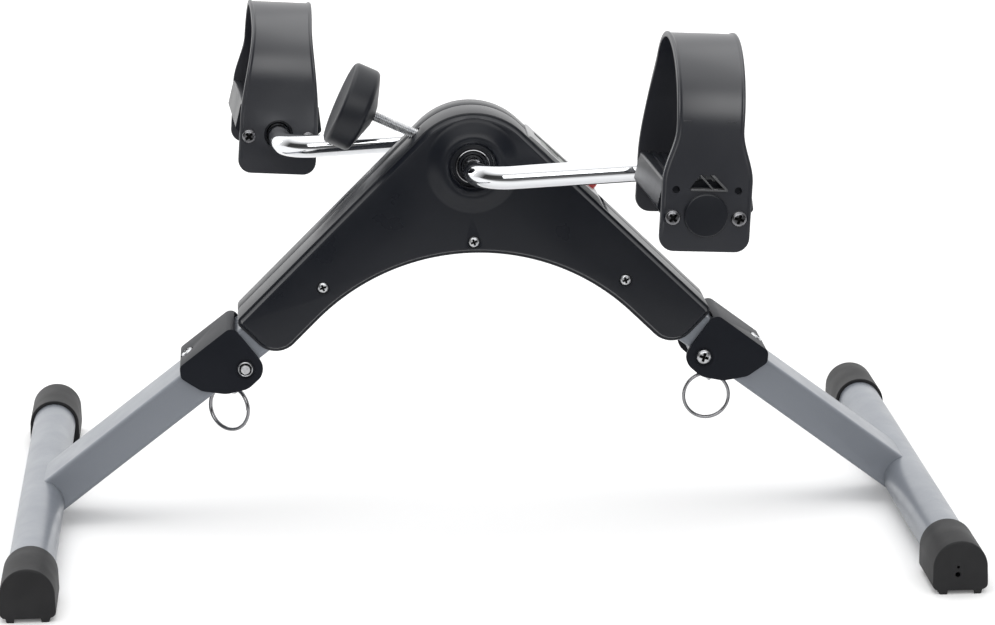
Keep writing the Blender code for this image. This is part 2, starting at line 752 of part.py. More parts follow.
def make_hinge_cover(name, side, body, materials):
    """Plastic cover astride the hinge: two plates, a top web and a bridge that guides the pin."""
    local = leg_frame(side)
    half = HINGE_COVER_HALF_WIDTH
    cover = slab(hinge_plate_outline(), (-half, half))
    cover = place(name + "_hinge_cover", cover, materials["black_plastic"], body, local)
    inner = half - HINGE_COVER_WALL
    web = HINGE_COVER_TOP_W - HINGE_COVER_WALL
    cut(cover, box((-20, LEG_START_U + 7.5), (-inner, inner), (BRIDGE_W[1], web)), local)
    cut(cover, box((-20, PIN_U - 4.6), (-inner, inner), (-15, 5)), local)
    cut(cover, box((PIN_U + 4.6, 40), (-inner, inner), (-15, TUBE_TOP_W + GAP)), local)
    below = rectangle((PIN_U - 8, PIN_U + 8), (-15, BRIDGE_W[0]))
    cut(cover, slab(below, (-inner, inner)), local)
    at_pin = local @ frame((PIN_U, 0, 0), (1, 0, 0), (0, 1, 0), (0, 0, 1))
    cut(cover, prism(circle(PIN_RADIUS + 0.4, 12), -10, 2), at_pin)
    cut(cover, slab(circle(BOLT_RADIUS + 0.3, 16), (-half - 5, half + 5)), local)
    at_screw = local @ frame((COVER_SCREW_U, 0, 0), (1, 0, 0), (0, 1, 0), (0, 0, 1))
    cut(cover, prism(circle(1.9, 10), 15, 40), at_screw)
    cut(cover, prism(circle(4.4, 14), HINGE_COVER_TOP_W - 1.0, 40), at_screw)
    lift = frame((0, 0, HINGE_COVER_TOP_W - 0.7), (1, 0, 0), (0, 1, 0), (0, 0, 1))
    screw = pan_head(3.6, 1.8, 1.5, 11)
    place(name + "_hinge_cover_screw", screw, materials["zinc_steel"], body, at_screw @ lift)


def make_hinge_bolt(name, side, body, materials):
    """Bolt through the cover's lobes and the frame's knuckle; its nut is on the other side."""
    local = leg_frame(side)
    facing = -side
    reach = HINGE_COVER_HALF_WIDTH + GAP
    out = local @ frame((0, facing * reach, 0), (1, 0, 0), (0, 0, -facing), (0, facing, 0))
    bolt = pan_head(4.2, 2.3, BOLT_RADIUS, 2 * reach + 2.2, 16)
    place(name + "_hinge_bolt", bolt, materials["zinc_steel"], body, out)
    far = local @ frame((0, -facing * reach, 0), (1, 0, 0), (0, 0, facing), (0, -facing, 0))
    nut = turned([(BOLT_RADIUS + GAP, 0), (4.8, 0), (4.8, 1.6), (4.2, 2.2), (BOLT_RADIUS + GAP, 2.2)], 16)
    place(name + "_hinge_nut", nut, materials["zinc_steel"], body, far)


def foot_cap_outline():
    """A D on its flat side, standing on two small ribs."""
    half = CAP_HALF_WIDTH
    rib = CAP_RIB_HEIGHT
    arch = arc((0, FOOT_TUBE_HEIGHT), half - 0.2, 0, 180, 14)
    low = [(-half, rib + 2.5), (-half + 2.2, rib)]
    low += [(-11.5, rib), (-11.2, 0), (-7.6, 0), (-7.3, rib)]
    low += [(7.3, rib), (7.6, 0), (11.2, 0), (11.5, rib)]
    low += [(half - 2.2, rib), (half, rib + 2.5)]
    return arch + low


def make_foot(name, side, body, materials):
    outer = circle(FOOT_TUBE_RADIUS, 28)
    end = FOOT_HALF_LENGTH - 3.5
    at_foot = along_y(side * FOOT_X, FOOT_TUBE_HEIGHT)
    bar = place(name + "_foot_tube", prism(outer, -end, end), materials["silver_paint"], body, at_foot)
    cut(bar, prism(circle(FOOT_TUBE_RADIUS - 1.5, 28), -end - 5, end + 5), at_foot)
    for label, facing in (("front", -1), ("rear", 1)):
        tip, mouth = facing * FOOT_HALF_LENGTH, facing * (FOOT_HALF_LENGTH - CAP_LENGTH)
        shrunk = [(x * 0.93, (z - 13) * 0.93 + 13 if z > 2 else z) for x, z in foot_cap_outline()]
        stack = [(shrunk, tip), (foot_cap_outline(), tip - facing * 1.2), (foot_cap_outline(), mouth)]
        mesh = loft([[(x, y, z) for x, z in outline] for outline, y in stack])
        at_bar = frame((side * FOOT_X, 0, 0), (1, 0, 0), (0, 1, 0), (0, 0, 1))
        cap = place(f"{name}_{label}_foot_cap", mesh, materials["rubber"], body, at_bar)
        bore = circle(FOOT_TUBE_RADIUS + GAP, 28)
        cut(cap, prism(bore, mouth - facing * 5, facing * (end + GAP)), at_foot)


def make_lock(name, side, body, materials):
    """Spring pin that locks the leg open, and its pull ring."""
    at_pin = leg_frame(side) @ frame((PIN_U, 0, 0), (1, 0, 0), (0, 1, 0), (0, 0, 1))
    pin_body = make_body(name + "_lock_pin_joint", at_pin @ Vector((0, 0, PIN_EYE_W)), body)
    steps = [
        (PIN_RADIUS - 0.5, BRIDGE_W[0] - 3.2),
        (PIN_RADIUS, BRIDGE_W[0] - 2.4),
        (PIN_RADIUS, PIN_FLANGE_W[0]),
        (4.2, PIN_FLANGE_W[0]),
        (4.2, PIN_FLANGE_W[1]),
        (PIN_RADIUS, PIN_FLANGE_W[1]),
        (PIN_RADIUS, PIN_TIP_W - 0.8),
        (PIN_RADIUS - 0.8, PIN_TIP_W),
    ]
    pin = place(name + "_lock_pin", stepped(steps, 14), materials["zinc_steel"], pin_body, at_pin)
    turned_pin = at_pin @ Matrix.Rotation(radians(RING_TURN[name]), 4, "Z")
    tab = frame((0, 0, PIN_EYE_W), (0, 1, 0), (0, 0, 1), (1, 0, 0))
    blank = rounded([(-4.1, -4.1, 3.9), (4.1, -4.1, 3.9), (4.1, 4.2, 1.0), (-4.1, 4.2, 1.0)], 3)
    join(pin, prism(blank, -0.8, 0.8), turned_pin @ tab)
    cut(pin, prism(circle(2.9, 12), -4, 4), turned_pin @ tab)
    turns, steps_per_turn, radius = 3, 10, 3.4
    low, high = BRIDGE_W[1] + 0.6, PIN_FLANGE_W[0] - 0.6
    coil = []
    for i in range(turns * steps_per_turn + 1):
        a = 2 * pi * i / steps_per_turn
        rise = i / (turns * steps_per_turn)
        coil.append((radius * cos(a), radius * sin(a), low + (high - low) * rise))
    spring = swept(coil, 0.32, 5)
    place(name + "_lock_spring", spring, materials["zinc_steel"], body, at_pin)
    eye = turned_pin @ Vector((0, 0, PIN_EYE_W))
    ring_body = make_body(name + "_pull_ring_joint", eye, pin_body)
    yaw = radians(RING_TURN[name]) * side
    across = Vector((cos(yaw), sin(yaw), 0))
    lean = radians(RING_LEAN[name]) * side
    centre = eye + (across * sin(lean) - Vector((0, 0, cos(lean)))) * RING_RADIUS
    path = [centre + across * x + Vector((0, 0, z)) for x, z in circle(RING_RADIUS, 28)]
    ring = swept(path, RING_WIRE_RADIUS, 8, closed=True)
    place(name + "_pull_ring", ring, materials["chrome"], ring_body)


def make_leg(name, side, body, materials):
    local = leg_frame(side)
    reach = hypot(FOOT_X - HINGE_X, FOOT_TUBE_HEIGHT - HINGE_Z)
    tube = along_u(tube_section(0), (LEG_START_U, reach + 4))
    tube = place(name + "_leg_tube", tube, materials["silver_paint"], body, local)
    cut(tube, along_u(tube_section(TUBE_WALL), (LEG_START_U - 5, reach + 30)), local)
    at_foot = along_y(side * FOOT_X, FOOT_TUBE_HEIGHT)
    cut(tube, prism(circle(FOOT_TUBE_RADIUS + GAP, 32), -40, 40), at_foot)
    at_screw = local @ frame((COVER_SCREW_U, 0, 0), (1, 0, 0), (0, 1, 0), (0, 0, 1))
    cut(tube, prism(circle(1.9, 10), 10, 30), at_screw)
    make_foot(name, side, body, materials)
    make_hinge_cover(name, side, body, materials)
    make_hinge_bolt(name, side, body, materials)
    make_lock(name, side, body, materials)


def main():
    clear_scene()
    materials = {name: make_material(name) for name in MATERIALS}
    housing = make_body("housing", (0, 0, 0))
    make_housing(housing, materials)
    make_tension(housing, materials)
    crank = make_body("crank", (0, 0, AXLE_Z), housing)
    make_crank(crank, materials)
    for name, side in SIDES.items():
        pedal = make_body(name + "_pedal", pedal_corner(side), crank)
        make_pedal(name, pedal, materials)
        leg = make_body(name + "_leg", (side * HINGE_X, 0, HINGE_Z), housing)
        make_leg(name, side, leg, materials)


main()
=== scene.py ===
"""Looks of the folding pedal exerciser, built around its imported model.

Lengths in this file are millimetres and angles are degrees; link() turns them into metres. A leg's
frame runs u down the leg, y along the axle and w out of the leg's top face, and a pedal's frame
runs t fore and aft, h up and s out along the spindle.
"""

import json
from math import atan2, cos, degrees, hypot, pi, radians, sin, sqrt

import bmesh
import bpy
from mathutils import Matrix, Vector


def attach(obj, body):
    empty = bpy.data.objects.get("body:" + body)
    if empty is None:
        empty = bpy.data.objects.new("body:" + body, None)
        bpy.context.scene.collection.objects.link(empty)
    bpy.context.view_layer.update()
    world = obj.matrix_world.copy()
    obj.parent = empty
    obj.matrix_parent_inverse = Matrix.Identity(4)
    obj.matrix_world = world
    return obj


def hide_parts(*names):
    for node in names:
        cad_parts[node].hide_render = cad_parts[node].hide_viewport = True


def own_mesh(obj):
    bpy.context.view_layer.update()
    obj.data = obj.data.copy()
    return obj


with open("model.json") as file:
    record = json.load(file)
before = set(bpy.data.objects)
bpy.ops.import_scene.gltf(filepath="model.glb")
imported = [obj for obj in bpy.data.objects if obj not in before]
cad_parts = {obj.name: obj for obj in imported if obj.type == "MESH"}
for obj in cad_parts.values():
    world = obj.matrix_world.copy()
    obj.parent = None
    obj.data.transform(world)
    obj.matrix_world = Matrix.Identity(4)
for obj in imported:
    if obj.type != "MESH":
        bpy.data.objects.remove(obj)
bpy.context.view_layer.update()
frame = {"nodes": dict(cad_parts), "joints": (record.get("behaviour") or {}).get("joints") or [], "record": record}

METRE = 0.001
GAP = 0.3
SIDES = {"left": -1, "right": 1}
JOINTS = {joint["name"]: joint for joint in frame["joints"]}

LEG_SLOPE = 37.2
ARM_SLOPE = 44.5
TUBE_WIDTH = 40.0
TUBE_BOTTOM_W = -1.2
TUBE_TOP_W = 18.8
TUBE_CORNER = 3.0
TUBE_WALL = 1.6
FRAME_START_U = -45.0
LEG_START_U = 19.2
FOOT_X = 240.5
FOOT_HALF_LENGTH = 192.5
FOOT_TUBE_RADIUS = 12.3
FOOT_TUBE_HEIGHT = 14.0
CAP_LENGTH = 43.0
CAP_HALF_WIDTH = 14.5
CAP_MIDDLE_Z = 13.0
CAP_RIB_HEIGHT = 2.0
HINGE_COVER_HALF_WIDTH = 23.0
HINGE_COVER_TOP_W = 23.4
HINGE_COVER_WALL = 2.6
BRIDGE_W = (-3.4, -1.6)
COVER_SCREW_U = 22.6
PIN_U = 15.0
PIN_RADIUS = 2.2
PIN_FLANGE_W = (5.4, 6.6)
RING_RADIUS = 12.6
RING_TURN = {"left": 34.0, "right": 0.0}
RING_LEAN = {"left": 14.0, "right": -14.0}
HALF_DEPTH = 25.0
SEAM_Y = 5.3
ARM_TOP_V = 173.4
ARM_BOTTOM_V = 141.8
ARM_END_U = 13.9
CROWN_RADIUS = 39.0
ARCH_RADIUS = 122.6
COVER_WALL = 2.2
COVER_SCREWS = {"left": (-83.0, 133.0), "middle": (0.0, 156.4), "right": (83.0, 133.0)}
ROD_RADIUS = 6.4
ROD_BEND = 20.0
ARM_PLANE_Y = 62.0
SPINDLE_LENGTH = 112.5
SPINDLE_PLUG_RADIUS = 8.0
PEDAL_INNER_S = 41.5
PEDAL_OUTER_S = 124.0
PEDAL_TILT = {"left": 4.2, "right": 3.4}
STRAP_THICKNESS = 2.2
INNER_TAPER = (30.0, 86.0)
OUTER_TAPER = (36.0, 63.0)
STRAP_WIDE = {"left": 44.8, "right": 46.5}
STRAP_NARROW = 34.6
STRAP_TOP_WIDTH = 36.2
STRAP_CORNER = 7.5
STRAP_RISE = {"right": 86.0, "left": 70.0}
STRAP_ENDS_H = {"right": (-15.0, -19.0), "left": (-23.0, -20.0)}
STRAP_SCREW_T = 17.0
STRAP_SCREW_H = -1.5
WINDOW_FOOT_H = 12.9
PEDAL_CAP_RADIUS = 11.2
KNOB_ANGLE = 25.0
KNOB_RADIUS = 23.5
KNOB_D = (58.5, 78.7)
THREAD_RADIUS = 2.9
THREAD_D = (20.9, 70.0)
THREAD_PITCH = 1.0
DISPLAY_U = (-127.0, -66.0)
DISPLAY_V = (168.0, 176.2)
DISPLAY_HALF_WIDTH = 18.0
LENS_U = (-121.5, -93.0)
LENS_HALF_WIDTH = 12.5
BUTTON_U = -82.5
BUTTON_RADIUS = 5.0
CAMERA_POSITION = (-0.122831, -2.156317, 0.622701)
FLOOR_HALF_SIZE = 12000.0


# ---------------------------------------------------------------- outlines and frames


def joint_point(name):
    return Vector(JOINTS[name]["pos_m"]) / METRE


AXLE_Z = joint_point("crank_spin").z


def local_frame(origin, x_axis, y_axis, z_axis):
    """Matrix from a local frame, in millimetres, to the object's frame."""
    rows = [[*column, end] for column, end in zip(zip(x_axis, y_axis, z_axis), origin)]
    return Matrix([*rows, [0, 0, 0, 1]])


def shifted(x, y, z):
    return Matrix.Translation((x, y, z))


def leg_frame(name):
    side = SIDES[name]
    c, s = cos(radians(LEG_SLOPE)), sin(radians(LEG_SLOPE))
    origin = joint_point(name + "_leg_fold")
    return local_frame(origin, (side * c, 0, -s), (0, 1, 0), (side * s, 0, c))


def arm_frame(side):
    c, s = cos(radians(ARM_SLOPE)), sin(radians(ARM_SLOPE))
    return local_frame((0, 0, 0), (side * c, 0, -s), (0, 1, 0), (side * s, 0, c))


def axle_frame(direction=1):
    """Local z along the axle, towards +Y or -Y."""
    return local_frame((0, 0, AXLE_Z), (1, 0, 0), (0, 0, 1), (0, direction, 0))


def knob_frame():
    """Local z along the tension rod, out from the axle."""
    c, s = cos(radians(KNOB_ANGLE)), sin(radians(KNOB_ANGLE))
    return local_frame((0, 0, AXLE_Z), (s, 0, c), (0, 1, 0), (-c, 0, s))


def along_y(x, z):
    return local_frame((x, 0, z), (1, 0, 0), (0, 0, -1), (0, 1, 0))


def pedal_frame(name):
    spindle = Vector(JOINTS[name + "_pedal_spin"]["axis"])
    up = Matrix.Rotation(radians(PEDAL_TILT[name]), 3, "Y") @ Vector((0, 0, 1))
    up = (up - spindle * up.dot(spindle)).normalized()
    across = up.cross(spindle) * SIDES[name]
    return local_frame(joint_point(name + "_pedal_spin"), across, up, spindle)


def circle(radius, count=64, centre=(0.0, 0.0)):
    turns = [2 * pi * i / count for i in range(count)]
    return [(centre[0] + radius * cos(a), centre[1] + radius * sin(a)) for a in turns]


def arc(centre, radius, start, end, steps):
    turns = [radians(start + (end - start) * i / steps) for i in range(steps + 1)]
    return [(centre[0] + radius * cos(a), centre[1] + radius * sin(a)) for a in turns]


def rounded(corners, steps=8):
    """Closed outline through (x, y, radius) corners, each rounded to its radius."""
    points = []
    for i, (x, y, radius) in enumerate(corners):
        here = Vector((x, y))
        before = (Vector(corners[i - 1][:2]) - here).normalized()
        after = (Vector(corners[(i + 1) % len(corners)][:2]) - here).normalized()
        if radius == 0:
            points.append((x, y))
            continue
        half = before.angle(after) / 2
        centre = here + (before + after).normalized() * (radius / sin(half))
        first = here + before * (radius * cos(half) / sin(half)) - centre
        last = here + after * (radius * cos(half) / sin(half)) - centre
        start = degrees(atan2(first.y, first.x))
        turn = degrees(atan2(last.y, last.x)) - start
        turn = (turn + 180) % 360 - 180
        points += arc(centre, radius, start, start + turn, steps)
    return points


def rectangle(x, y, radius=0.0, steps=8):
    corners = [(x[0], y[0]), (x[1], y[0]), (x[1], y[1]), (x[0], y[1])]
    return rounded([(*corner, radius) for corner in corners], steps)


def chevron(inset=0.0):
    """The housing's outline in (x, z), moved in by inset."""
    c, s = cos(radians(ARM_SLOPE)), sin(radians(ARM_SLOPE))
    crown_z = (ARM_TOP_V - CROWN_RADIUS) / c
    arch_z = (ARM_BOTTOM_V - ARCH_RADIUS) / c
    high, low, end = ARM_TOP_V - inset, ARM_BOTTOM_V + inset, ARM_END_U - inset
    tangent_u = -arch_z * s
    local = rounded(
        [
            (tangent_u - 30, high, 0),
            (end, high, max(3.8 - inset, 1)),
            (end, low, 13.8 - inset),
            (tangent_u - 30, low, 0),
        ],
        12,
    )[1:-1]
    right_end = [(u * c + v * s, -u * s + v * c) for u, v in local]
    crown = arc((0, crown_z), CROWN_RADIUS - inset, 90 + ARM_SLOPE, 90 - ARM_SLOPE, 48)
    arch = arc((0, arch_z), ARCH_RADIUS + inset, 90 - ARM_SLOPE, 90 + ARM_SLOPE, 72)
    left_end = [(-x, z) for x, z in reversed(right_end)]
    return crown + right_end + arch + left_end


# ---------------------------------------------------------------- meshes


def loft(loops, closed=False):
    """Solid skin through loops of equal length; its ends are capped unless it closes on itself."""
    mesh = bmesh.new()
    rings = [[mesh.verts.new(point) for point in loop] for loop in loops]
    pairs = list(zip(rings, rings[1:]))
    if closed:
        pairs.append((rings[-1], rings[0]))
    else:
        mesh.faces.new(rings[0])
        mesh.faces.new(rings[-1])
    for ring, following in pairs:
        for i, vertex in enumerate(ring):
            j = (i + 1) % len(ring)
            mesh.faces.new((vertex, ring[j], following[j], following[i]))
    return mesh


def layers(*pairs):
    return loft([[(x, y, z) for x, y in outline] for outline, z in pairs])


def prism(outline, start, end):
    return layers((outline, start), (outline, end))


def slab(outline, y):
    """Solid from an outline in (x, z), stretched along y."""
    return loft([[(a, depth, b) for a, b in outline] for depth in y])


def box(x, y, z):
    return slab(rectangle(x, z), y)


def along_u(outline, u):
    """Solid from a (y, w) outline, stretched along u."""
    return loft([[(x, a, b) for a, b in outline] for x in u])


def turned(profile, count=96):
    """Solid of revolution about local z from a closed (radius, z) profile."""
    loops = []
    for i in range(count):
        a = 2 * pi * i / count
        loops.append([(r * cos(a), r * sin(a), z) for r, z in profile])
    return loft(loops, closed=True)


def stepped(steps, count=64):
    """Solid of revolution about local z from (radius, z) steps, with flat ends."""
    return layers(*[(circle(radius, count), z) for radius, z in steps])


def swept(path, radius, count, closed=False):
    """Round bar along a path of points, without twist."""
    points = [Vector(point) for point in path]
    total = len(points)
    loops, side = [], None
    for i, point in enumerate(points):
        before = points[i - 1] if i or closed else point
        after = points[(i + 1) % total] if i + 1 < total or closed else point
        along = (after - before).normalized()
        if side is None:
            side = along.orthogonal()
        side = (side - along * side.dot(along)).normalized()
        other = along.cross(side)
        loops.append([point + side * x + other * y for x, y in circle(radius, count)])
    return loft(loops, closed)


def bent_path(corners, radius, steps):
    """Points along straight runs between corners, with each inner corner bent to a radius."""
    points = [Vector(corners[0])]
    for before, here, after in zip(corners, corners[1:], corners[2:]):
        here = Vector(here)
        back, on = (Vector(before) - here).normalized(), (Vector(after) - here).normalized()
        half = back.angle(on) / 2
        centre = here + (back + on).normalized() * (radius / sin(half))
        first = here + back * (radius * cos(half) / sin(half)) - centre
        axis = back.cross(on)
        turn = -(pi - 2 * half)
        for i in range(steps + 1):
            points.append(centre + Matrix.Rotation(turn * i / steps, 3, axis) @ first)
    points.append(Vector(corners[-1]))
    return points


# ---------------------------------------------------------------- pieces


def link(name, mesh, local):
    mesh.transform(Matrix.Scale(METRE, 4) @ local)
    bmesh.ops.recalc_face_normals(mesh, faces=mesh.faces)
    data = bpy.data.meshes.new(name)
    mesh.to_mesh(data)
    mesh.free()
    obj = bpy.data.objects.new(name, data)
    bpy.context.collection.objects.link(obj)
    return obj


def apply_modifiers(obj):
    graph = bpy.context.evaluated_depsgraph_get()
    data = bpy.data.meshes.new_from_object(obj.evaluated_get(graph))
    obj.modifiers.clear()
    obj.data = data


def piece(
    name, mesh, local=Matrix.Identity(4), cuts=(), joins=(), bevel=0.0, segments=2, sharp=32, cut_look=None
):
    """An object of this mesh with others joined on and then cut out, and its edges rounded.

    cut_look is the material that the cut faces take.
    """
    obj = link(name, mesh, local)
    helpers = []
    for operation, shapes in (("UNION", joins), ("DIFFERENCE", cuts)):
        for shape, place in shapes:
            helper = link(name + "_helper", shape, place)
            helpers.append(helper)
            modifier = obj.modifiers.new(operation, "BOOLEAN")
            modifier.operation = operation
            modifier.object = helper
            if cut_look:
                helper.data.materials.append(cut_look)
                modifier.material_mode = "TRANSFER"
    if cut_look:
        obj.data.materials.append(LOOKS["zinc_steel"])
    if helpers:
        apply_modifiers(obj)
    for helper in helpers:
        bpy.data.objects.remove(helper, do_unlink=True)
    if bevel:
        modifier = obj.modifiers.new("round", "BEVEL")
        modifier.width = bevel * METRE
        modifier.segments = segments
        modifier.limit_method = "ANGLE"
        modifier.angle_limit = radians(30)
        modifier.use_clamp_overlap = True
        modifier.harden_normals = False
        apply_modifiers(obj)
    obj.data.shade_smooth()
    obj.data.set_sharp_from_angle(angle=radians(sharp))
    return obj


def finish_piece(obj, body, slot, *nodes, material=None):
    """Material of a piece, from its slot's look unless one is given, its body, and the CAD nodes that it replaces.
    """
    material = material or LOOKS[slot]
    if obj.data.materials:
        obj.data.materials[0] = material
    else:
        obj.data.materials.append(material)
    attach(obj, body)
    if nodes:
        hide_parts(*nodes)
    return obj


# ---------------------------------------------------------------- materials


def shader_of(name, colour, roughness, metallic=0.0, **sockets):
    material = bpy.data.materials.new(name)
    material.use_nodes = True
    shader = material.node_tree.nodes["Principled BSDF"]
    shader.inputs["Base Color"].default_value = (*colour, 1.0)
    shader.inputs["Roughness"].default_value = roughness
    shader.inputs["Metallic"].default_value = metallic
    for socket, value in sockets.items():
        shader.inputs[socket.replace("_", " ")].default_value = value
    return material, shader


def add_node(material, kind, **values):
    node = material.node_tree.nodes.new(kind)
    for key, value in values.items():
        if key in node.inputs:
            node.inputs[key].default_value = value
        else:
            setattr(node, key, value)
    return node


def feed(node, socket, output):
    """Links another node's output to this node's input."""
    node.id_data.links.new(output, node.inputs[socket])


def noise(material, scale, detail=3.0, roughness=0.5):
    """Noise over the object's own space, in metres."""
    coordinates = add_node(material, "ShaderNodeTexCoord")
    texture = add_node(material, "ShaderNodeTexNoise", Scale=scale, Detail=detail, Roughness=roughness)
    feed(texture, "Vector", coordinates.outputs["Object"])
    return texture.outputs["Fac"]


def ramp(material, value, low, high, start=0.3, end=0.7):
    """Maps start to end onto low to high, and holds there beyond."""
    node = add_node(material, "ShaderNodeMapRange")
    for socket, number in zip(("From Min", "From Max", "To Min", "To Max"), (start, end, low, high)):
        node.inputs[socket].default_value = number
    feed(node, "Value", value)
    return node.outputs["Result"]


def mix_colour(material, value, low, high, start=0.3, end=0.7):
    node = add_node(material, "ShaderNodeValToRGB")
    node.color_ramp.elements[0].position = start
    node.color_ramp.elements[0].color = (*low, 1)
    node.color_ramp.elements[1].position = end
    node.color_ramp.elements[1].color = (*high, 1)
    feed(node, "Fac", value)
    return node.outputs["Color"]


def combined(material, operation, first, second):
    node = add_node(material, "ShaderNodeMath", operation=operation)
    feed(node, 0, first)
    feed(node, 1, second)
    return node.outputs[0]


def bump(material, shader, height, distance, strength=1.0):
    node = add_node(material, "ShaderNodeBump", Strength=strength, Distance=distance)
    feed(node, "Height", height)
    feed(shader, "Normal", node.outputs["Normal"])


def make_black_plastic(name="black_plastic_look", specular=0.3, grey=0.0, roughness=0.26):
    """Fine spark-textured moulding with a faint sheen; grey is added to its black."""
    low, high = (0.0062, 0.0076, 0.0116), (0.0088, 0.0102, 0.0146)
    low, high = [tuple(value + grey for value in colour) for colour in (low, high)]
    material, shader = shader_of(name, low, 0.3, Specular_IOR_Level=specular)
    patches = noise(material, 28, 4.0)
    feed(shader, "Roughness", ramp(material, patches, roughness, roughness + 0.09))
    feed(shader, "Base Color", mix_colour(material, patches, low, high))
    bump(material, shader, noise(material, 2600, 2.0), 0.00003, 0.45)
    return material


def make_rubber():
    material, shader = shader_of("rubber_look", (0.014, 0.014, 0.015), 0.6, Specular_IOR_Level=0.25)
    patches = noise(material, 45, 5.0)
    feed(shader, "Roughness", ramp(material, patches, 0.5, 0.68))
    feed(shader, "Base Color", mix_colour(material, patches, (0.010, 0.010, 0.011), (0.021, 0.021, 0.022)))
    bump(material, shader, noise(material, 1500, 3.0), 0.00005, 0.5)
    return material


def make_vinyl():
    """Smooth flexible strap, a little bluer and glossier than the housing."""
    material, shader = shader_of("strap_vinyl_look", (0.0095, 0.0112, 0.0175), 0.36, Specular_IOR_Level=1.0)
    patches = noise(material, 20, 3.0)
    feed(shader, "Roughness", ramp(material, patches, 0.32, 0.40))
    bump(material, shader, noise(material, 900, 3.0), 0.00004, 0.35)
    return material


def make_silver_paint():
    """Silver grey powder paint with fine flake and faint orange peel."""
    material, shader = shader_of("silver_paint_look", (0.2, 0.215, 0.24), 0.42, 0.25)
    shader.inputs["Coat Weight"].default_value = 0.12
    shader.inputs["Coat Roughness"].default_value = 0.22
    flakes = noise(material, 3800, 1.0)
    low, high = (0.178, 0.194, 0.221), (0.220, 0.236, 0.265)
    feed(shader, "Base Color", mix_colour(material, flakes, low, high, 0.35, 0.65))
    feed(shader, "Roughness", ramp(material, noise(material, 60, 4.0), 0.32, 0.42))
    bump(material, shader, noise(material, 420, 2.0), 0.00006, 0.35)
    return material


def make_chrome():
    material, shader = shader_of("chrome_look", (0.80, 0.81, 0.83), 0.07, 1.0)
    feed(shader, "Roughness", ramp(material, noise(material, 90, 6.0, 0.7), 0.045, 0.12))
    bump(material, shader, noise(material, 160, 2.0), 0.00002, 0.2)
    return material


def make_zinc():
    """Zinc-plated screw steel, a little cloudy."""
    material, shader = shader_of("zinc_steel_look", (0.5, 0.51, 0.52), 0.3, 1.0)
    cloud = noise(material, 380, 5.0)
    feed(shader, "Roughness", ramp(material, cloud, 0.22, 0.42))
    feed(shader, "Base Color", mix_colour(material, cloud, (0.46, 0.47, 0.49), (0.66, 0.665, 0.67)))
    bump(material, shader, noise(material, 1200, 2.0), 0.00002, 0.4)
    return material


def make_lens():
    material, shader = shader_of("lens_look", (0.006, 0.007, 0.008), 0.06, Specular_IOR_Level=0.6)
    feed(shader, "Roughness", ramp(material, noise(material, 120, 4.0), 0.04, 0.10))
    return material


def make_red():
    material, shader = shader_of("red_plastic_look", (0.55, 0.035, 0.03), 0.34)
    low, high = (0.50, 0.028, 0.026), (0.60, 0.045, 0.040)
    feed(shader, "Base Color", mix_colour(material, noise(material, 150, 3.0), low, high))
    bump(material, shader, noise(material, 1500, 2.0), 0.00003, 0.3)
    return material


def make_felt():
    material, shader = shader_of("felt_look", (0.10, 0.09, 0.08), 0.95, Sheen_Weight=0.3)
    fibres = noise(material, 1800, 6.0, 0.7)
    feed(shader, "Base Color", mix_colour(material, fibres, (0.06, 0.055, 0.05), (0.15, 0.135, 0.12)))
    bump(material, shader, fibres, 0.0002, 0.7)
    return material


def make_panel():
    """The liquid crystal panel behind the window."""
    material, shader = shader_of("panel_look", (0.13, 0.15, 0.13), 0.35)
    low, high = (0.12, 0.14, 0.12), (0.145, 0.165, 0.14)
    feed(shader, "Base Color", mix_colour(material, noise(material, 300, 2.0), low, high))
    return material


def make_dark_steel():
    """Blackened screw steel."""
    material, shader = shader_of("dark_steel_look", (0.20, 0.20, 0.21), 0.26, 1.0)
    cloud = noise(material, 420, 4.0)
    feed(shader, "Roughness", ramp(material, cloud, 0.20, 0.34))
    feed(shader, "Base Color", mix_colour(material, cloud, (0.16, 0.16, 0.17), (0.26, 0.26, 0.27)))
    bump(material, shader, noise(material, 1200, 2.0), 0.00002, 0.4)
    return material


def make_recess_shade():
    """Painted shade for a screw's cross recess and a nut's groove: near-black and matt, standing in for the shade
    that falls there.
    """
    material, shader = shader_of("painted_shade_recess_look", (0.012, 0.012, 0.013), 0.7, Specular_IOR_Level=0.1)
    low, high = (0.008, 0.008, 0.009), (0.02, 0.02, 0.02)
    feed(shader, "Base Color", mix_colour(material, noise(material, 900, 3.0), low, high))
    return material


def make_ring_steel():
    """Steel of the split rings and axle rings, darker than the chrome."""
    material, shader = shader_of("ring_steel_look", (0.28, 0.28, 0.29), 0.16, 1.0)
    feed(shader, "Roughness", ramp(material, noise(material, 300, 4.0), 0.12, 0.22))
    bump(material, shader, noise(material, 700, 2.0), 0.00002, 0.3)
    return material


# Painted shade: the near-black look of the screws' cross recesses and the hinge nuts' groove rings.
RECESS_SHADE = make_recess_shade()
HINGE_PLASTIC = make_black_plastic("hinge_plastic_look", 0.12, 0.001, 0.42)
KNOB_PLASTIC = make_black_plastic("knob_plastic_look", 0.4, 0.0, 0.36)
DISPLAY_PLASTIC = make_black_plastic("display_plastic_look", 0.4, 0.26)
CAP_PLASTIC = make_black_plastic("cap_plastic_look", 0.4, 0.004)
# The housing's black with grey added: painted highlight on the window's ribs and ledge.
RIB_HIGHLIGHT_PLASTIC = make_black_plastic("rib_painted_highlight_look", 0.9, 0.08)
RING_STEEL = make_ring_steel()
DARK_STEEL = make_dark_steel()
LOOKS = {
    "black_plastic": make_black_plastic(),
    "silver_paint": make_silver_paint(),
    "chrome": make_chrome(),
    "zinc_steel": make_zinc(),
    "rubber": make_rubber(),
    "strap_vinyl": make_vinyl(),
    "lens": make_lens(),
    "red_plastic": make_red(),
    "felt": make_felt(),
}


def dress_nodes():
    """Gives every node of the frame the look of its material slot."""
    slots = {part["node"]: part["material_slot"] for part in frame["record"]["subparts"]}
    for name, node in frame["nodes"].items():
        node.data.materials.clear()
        node.data.materials.append(LOOKS[slots[name]])


# ---------------------------------------------------------------- screws


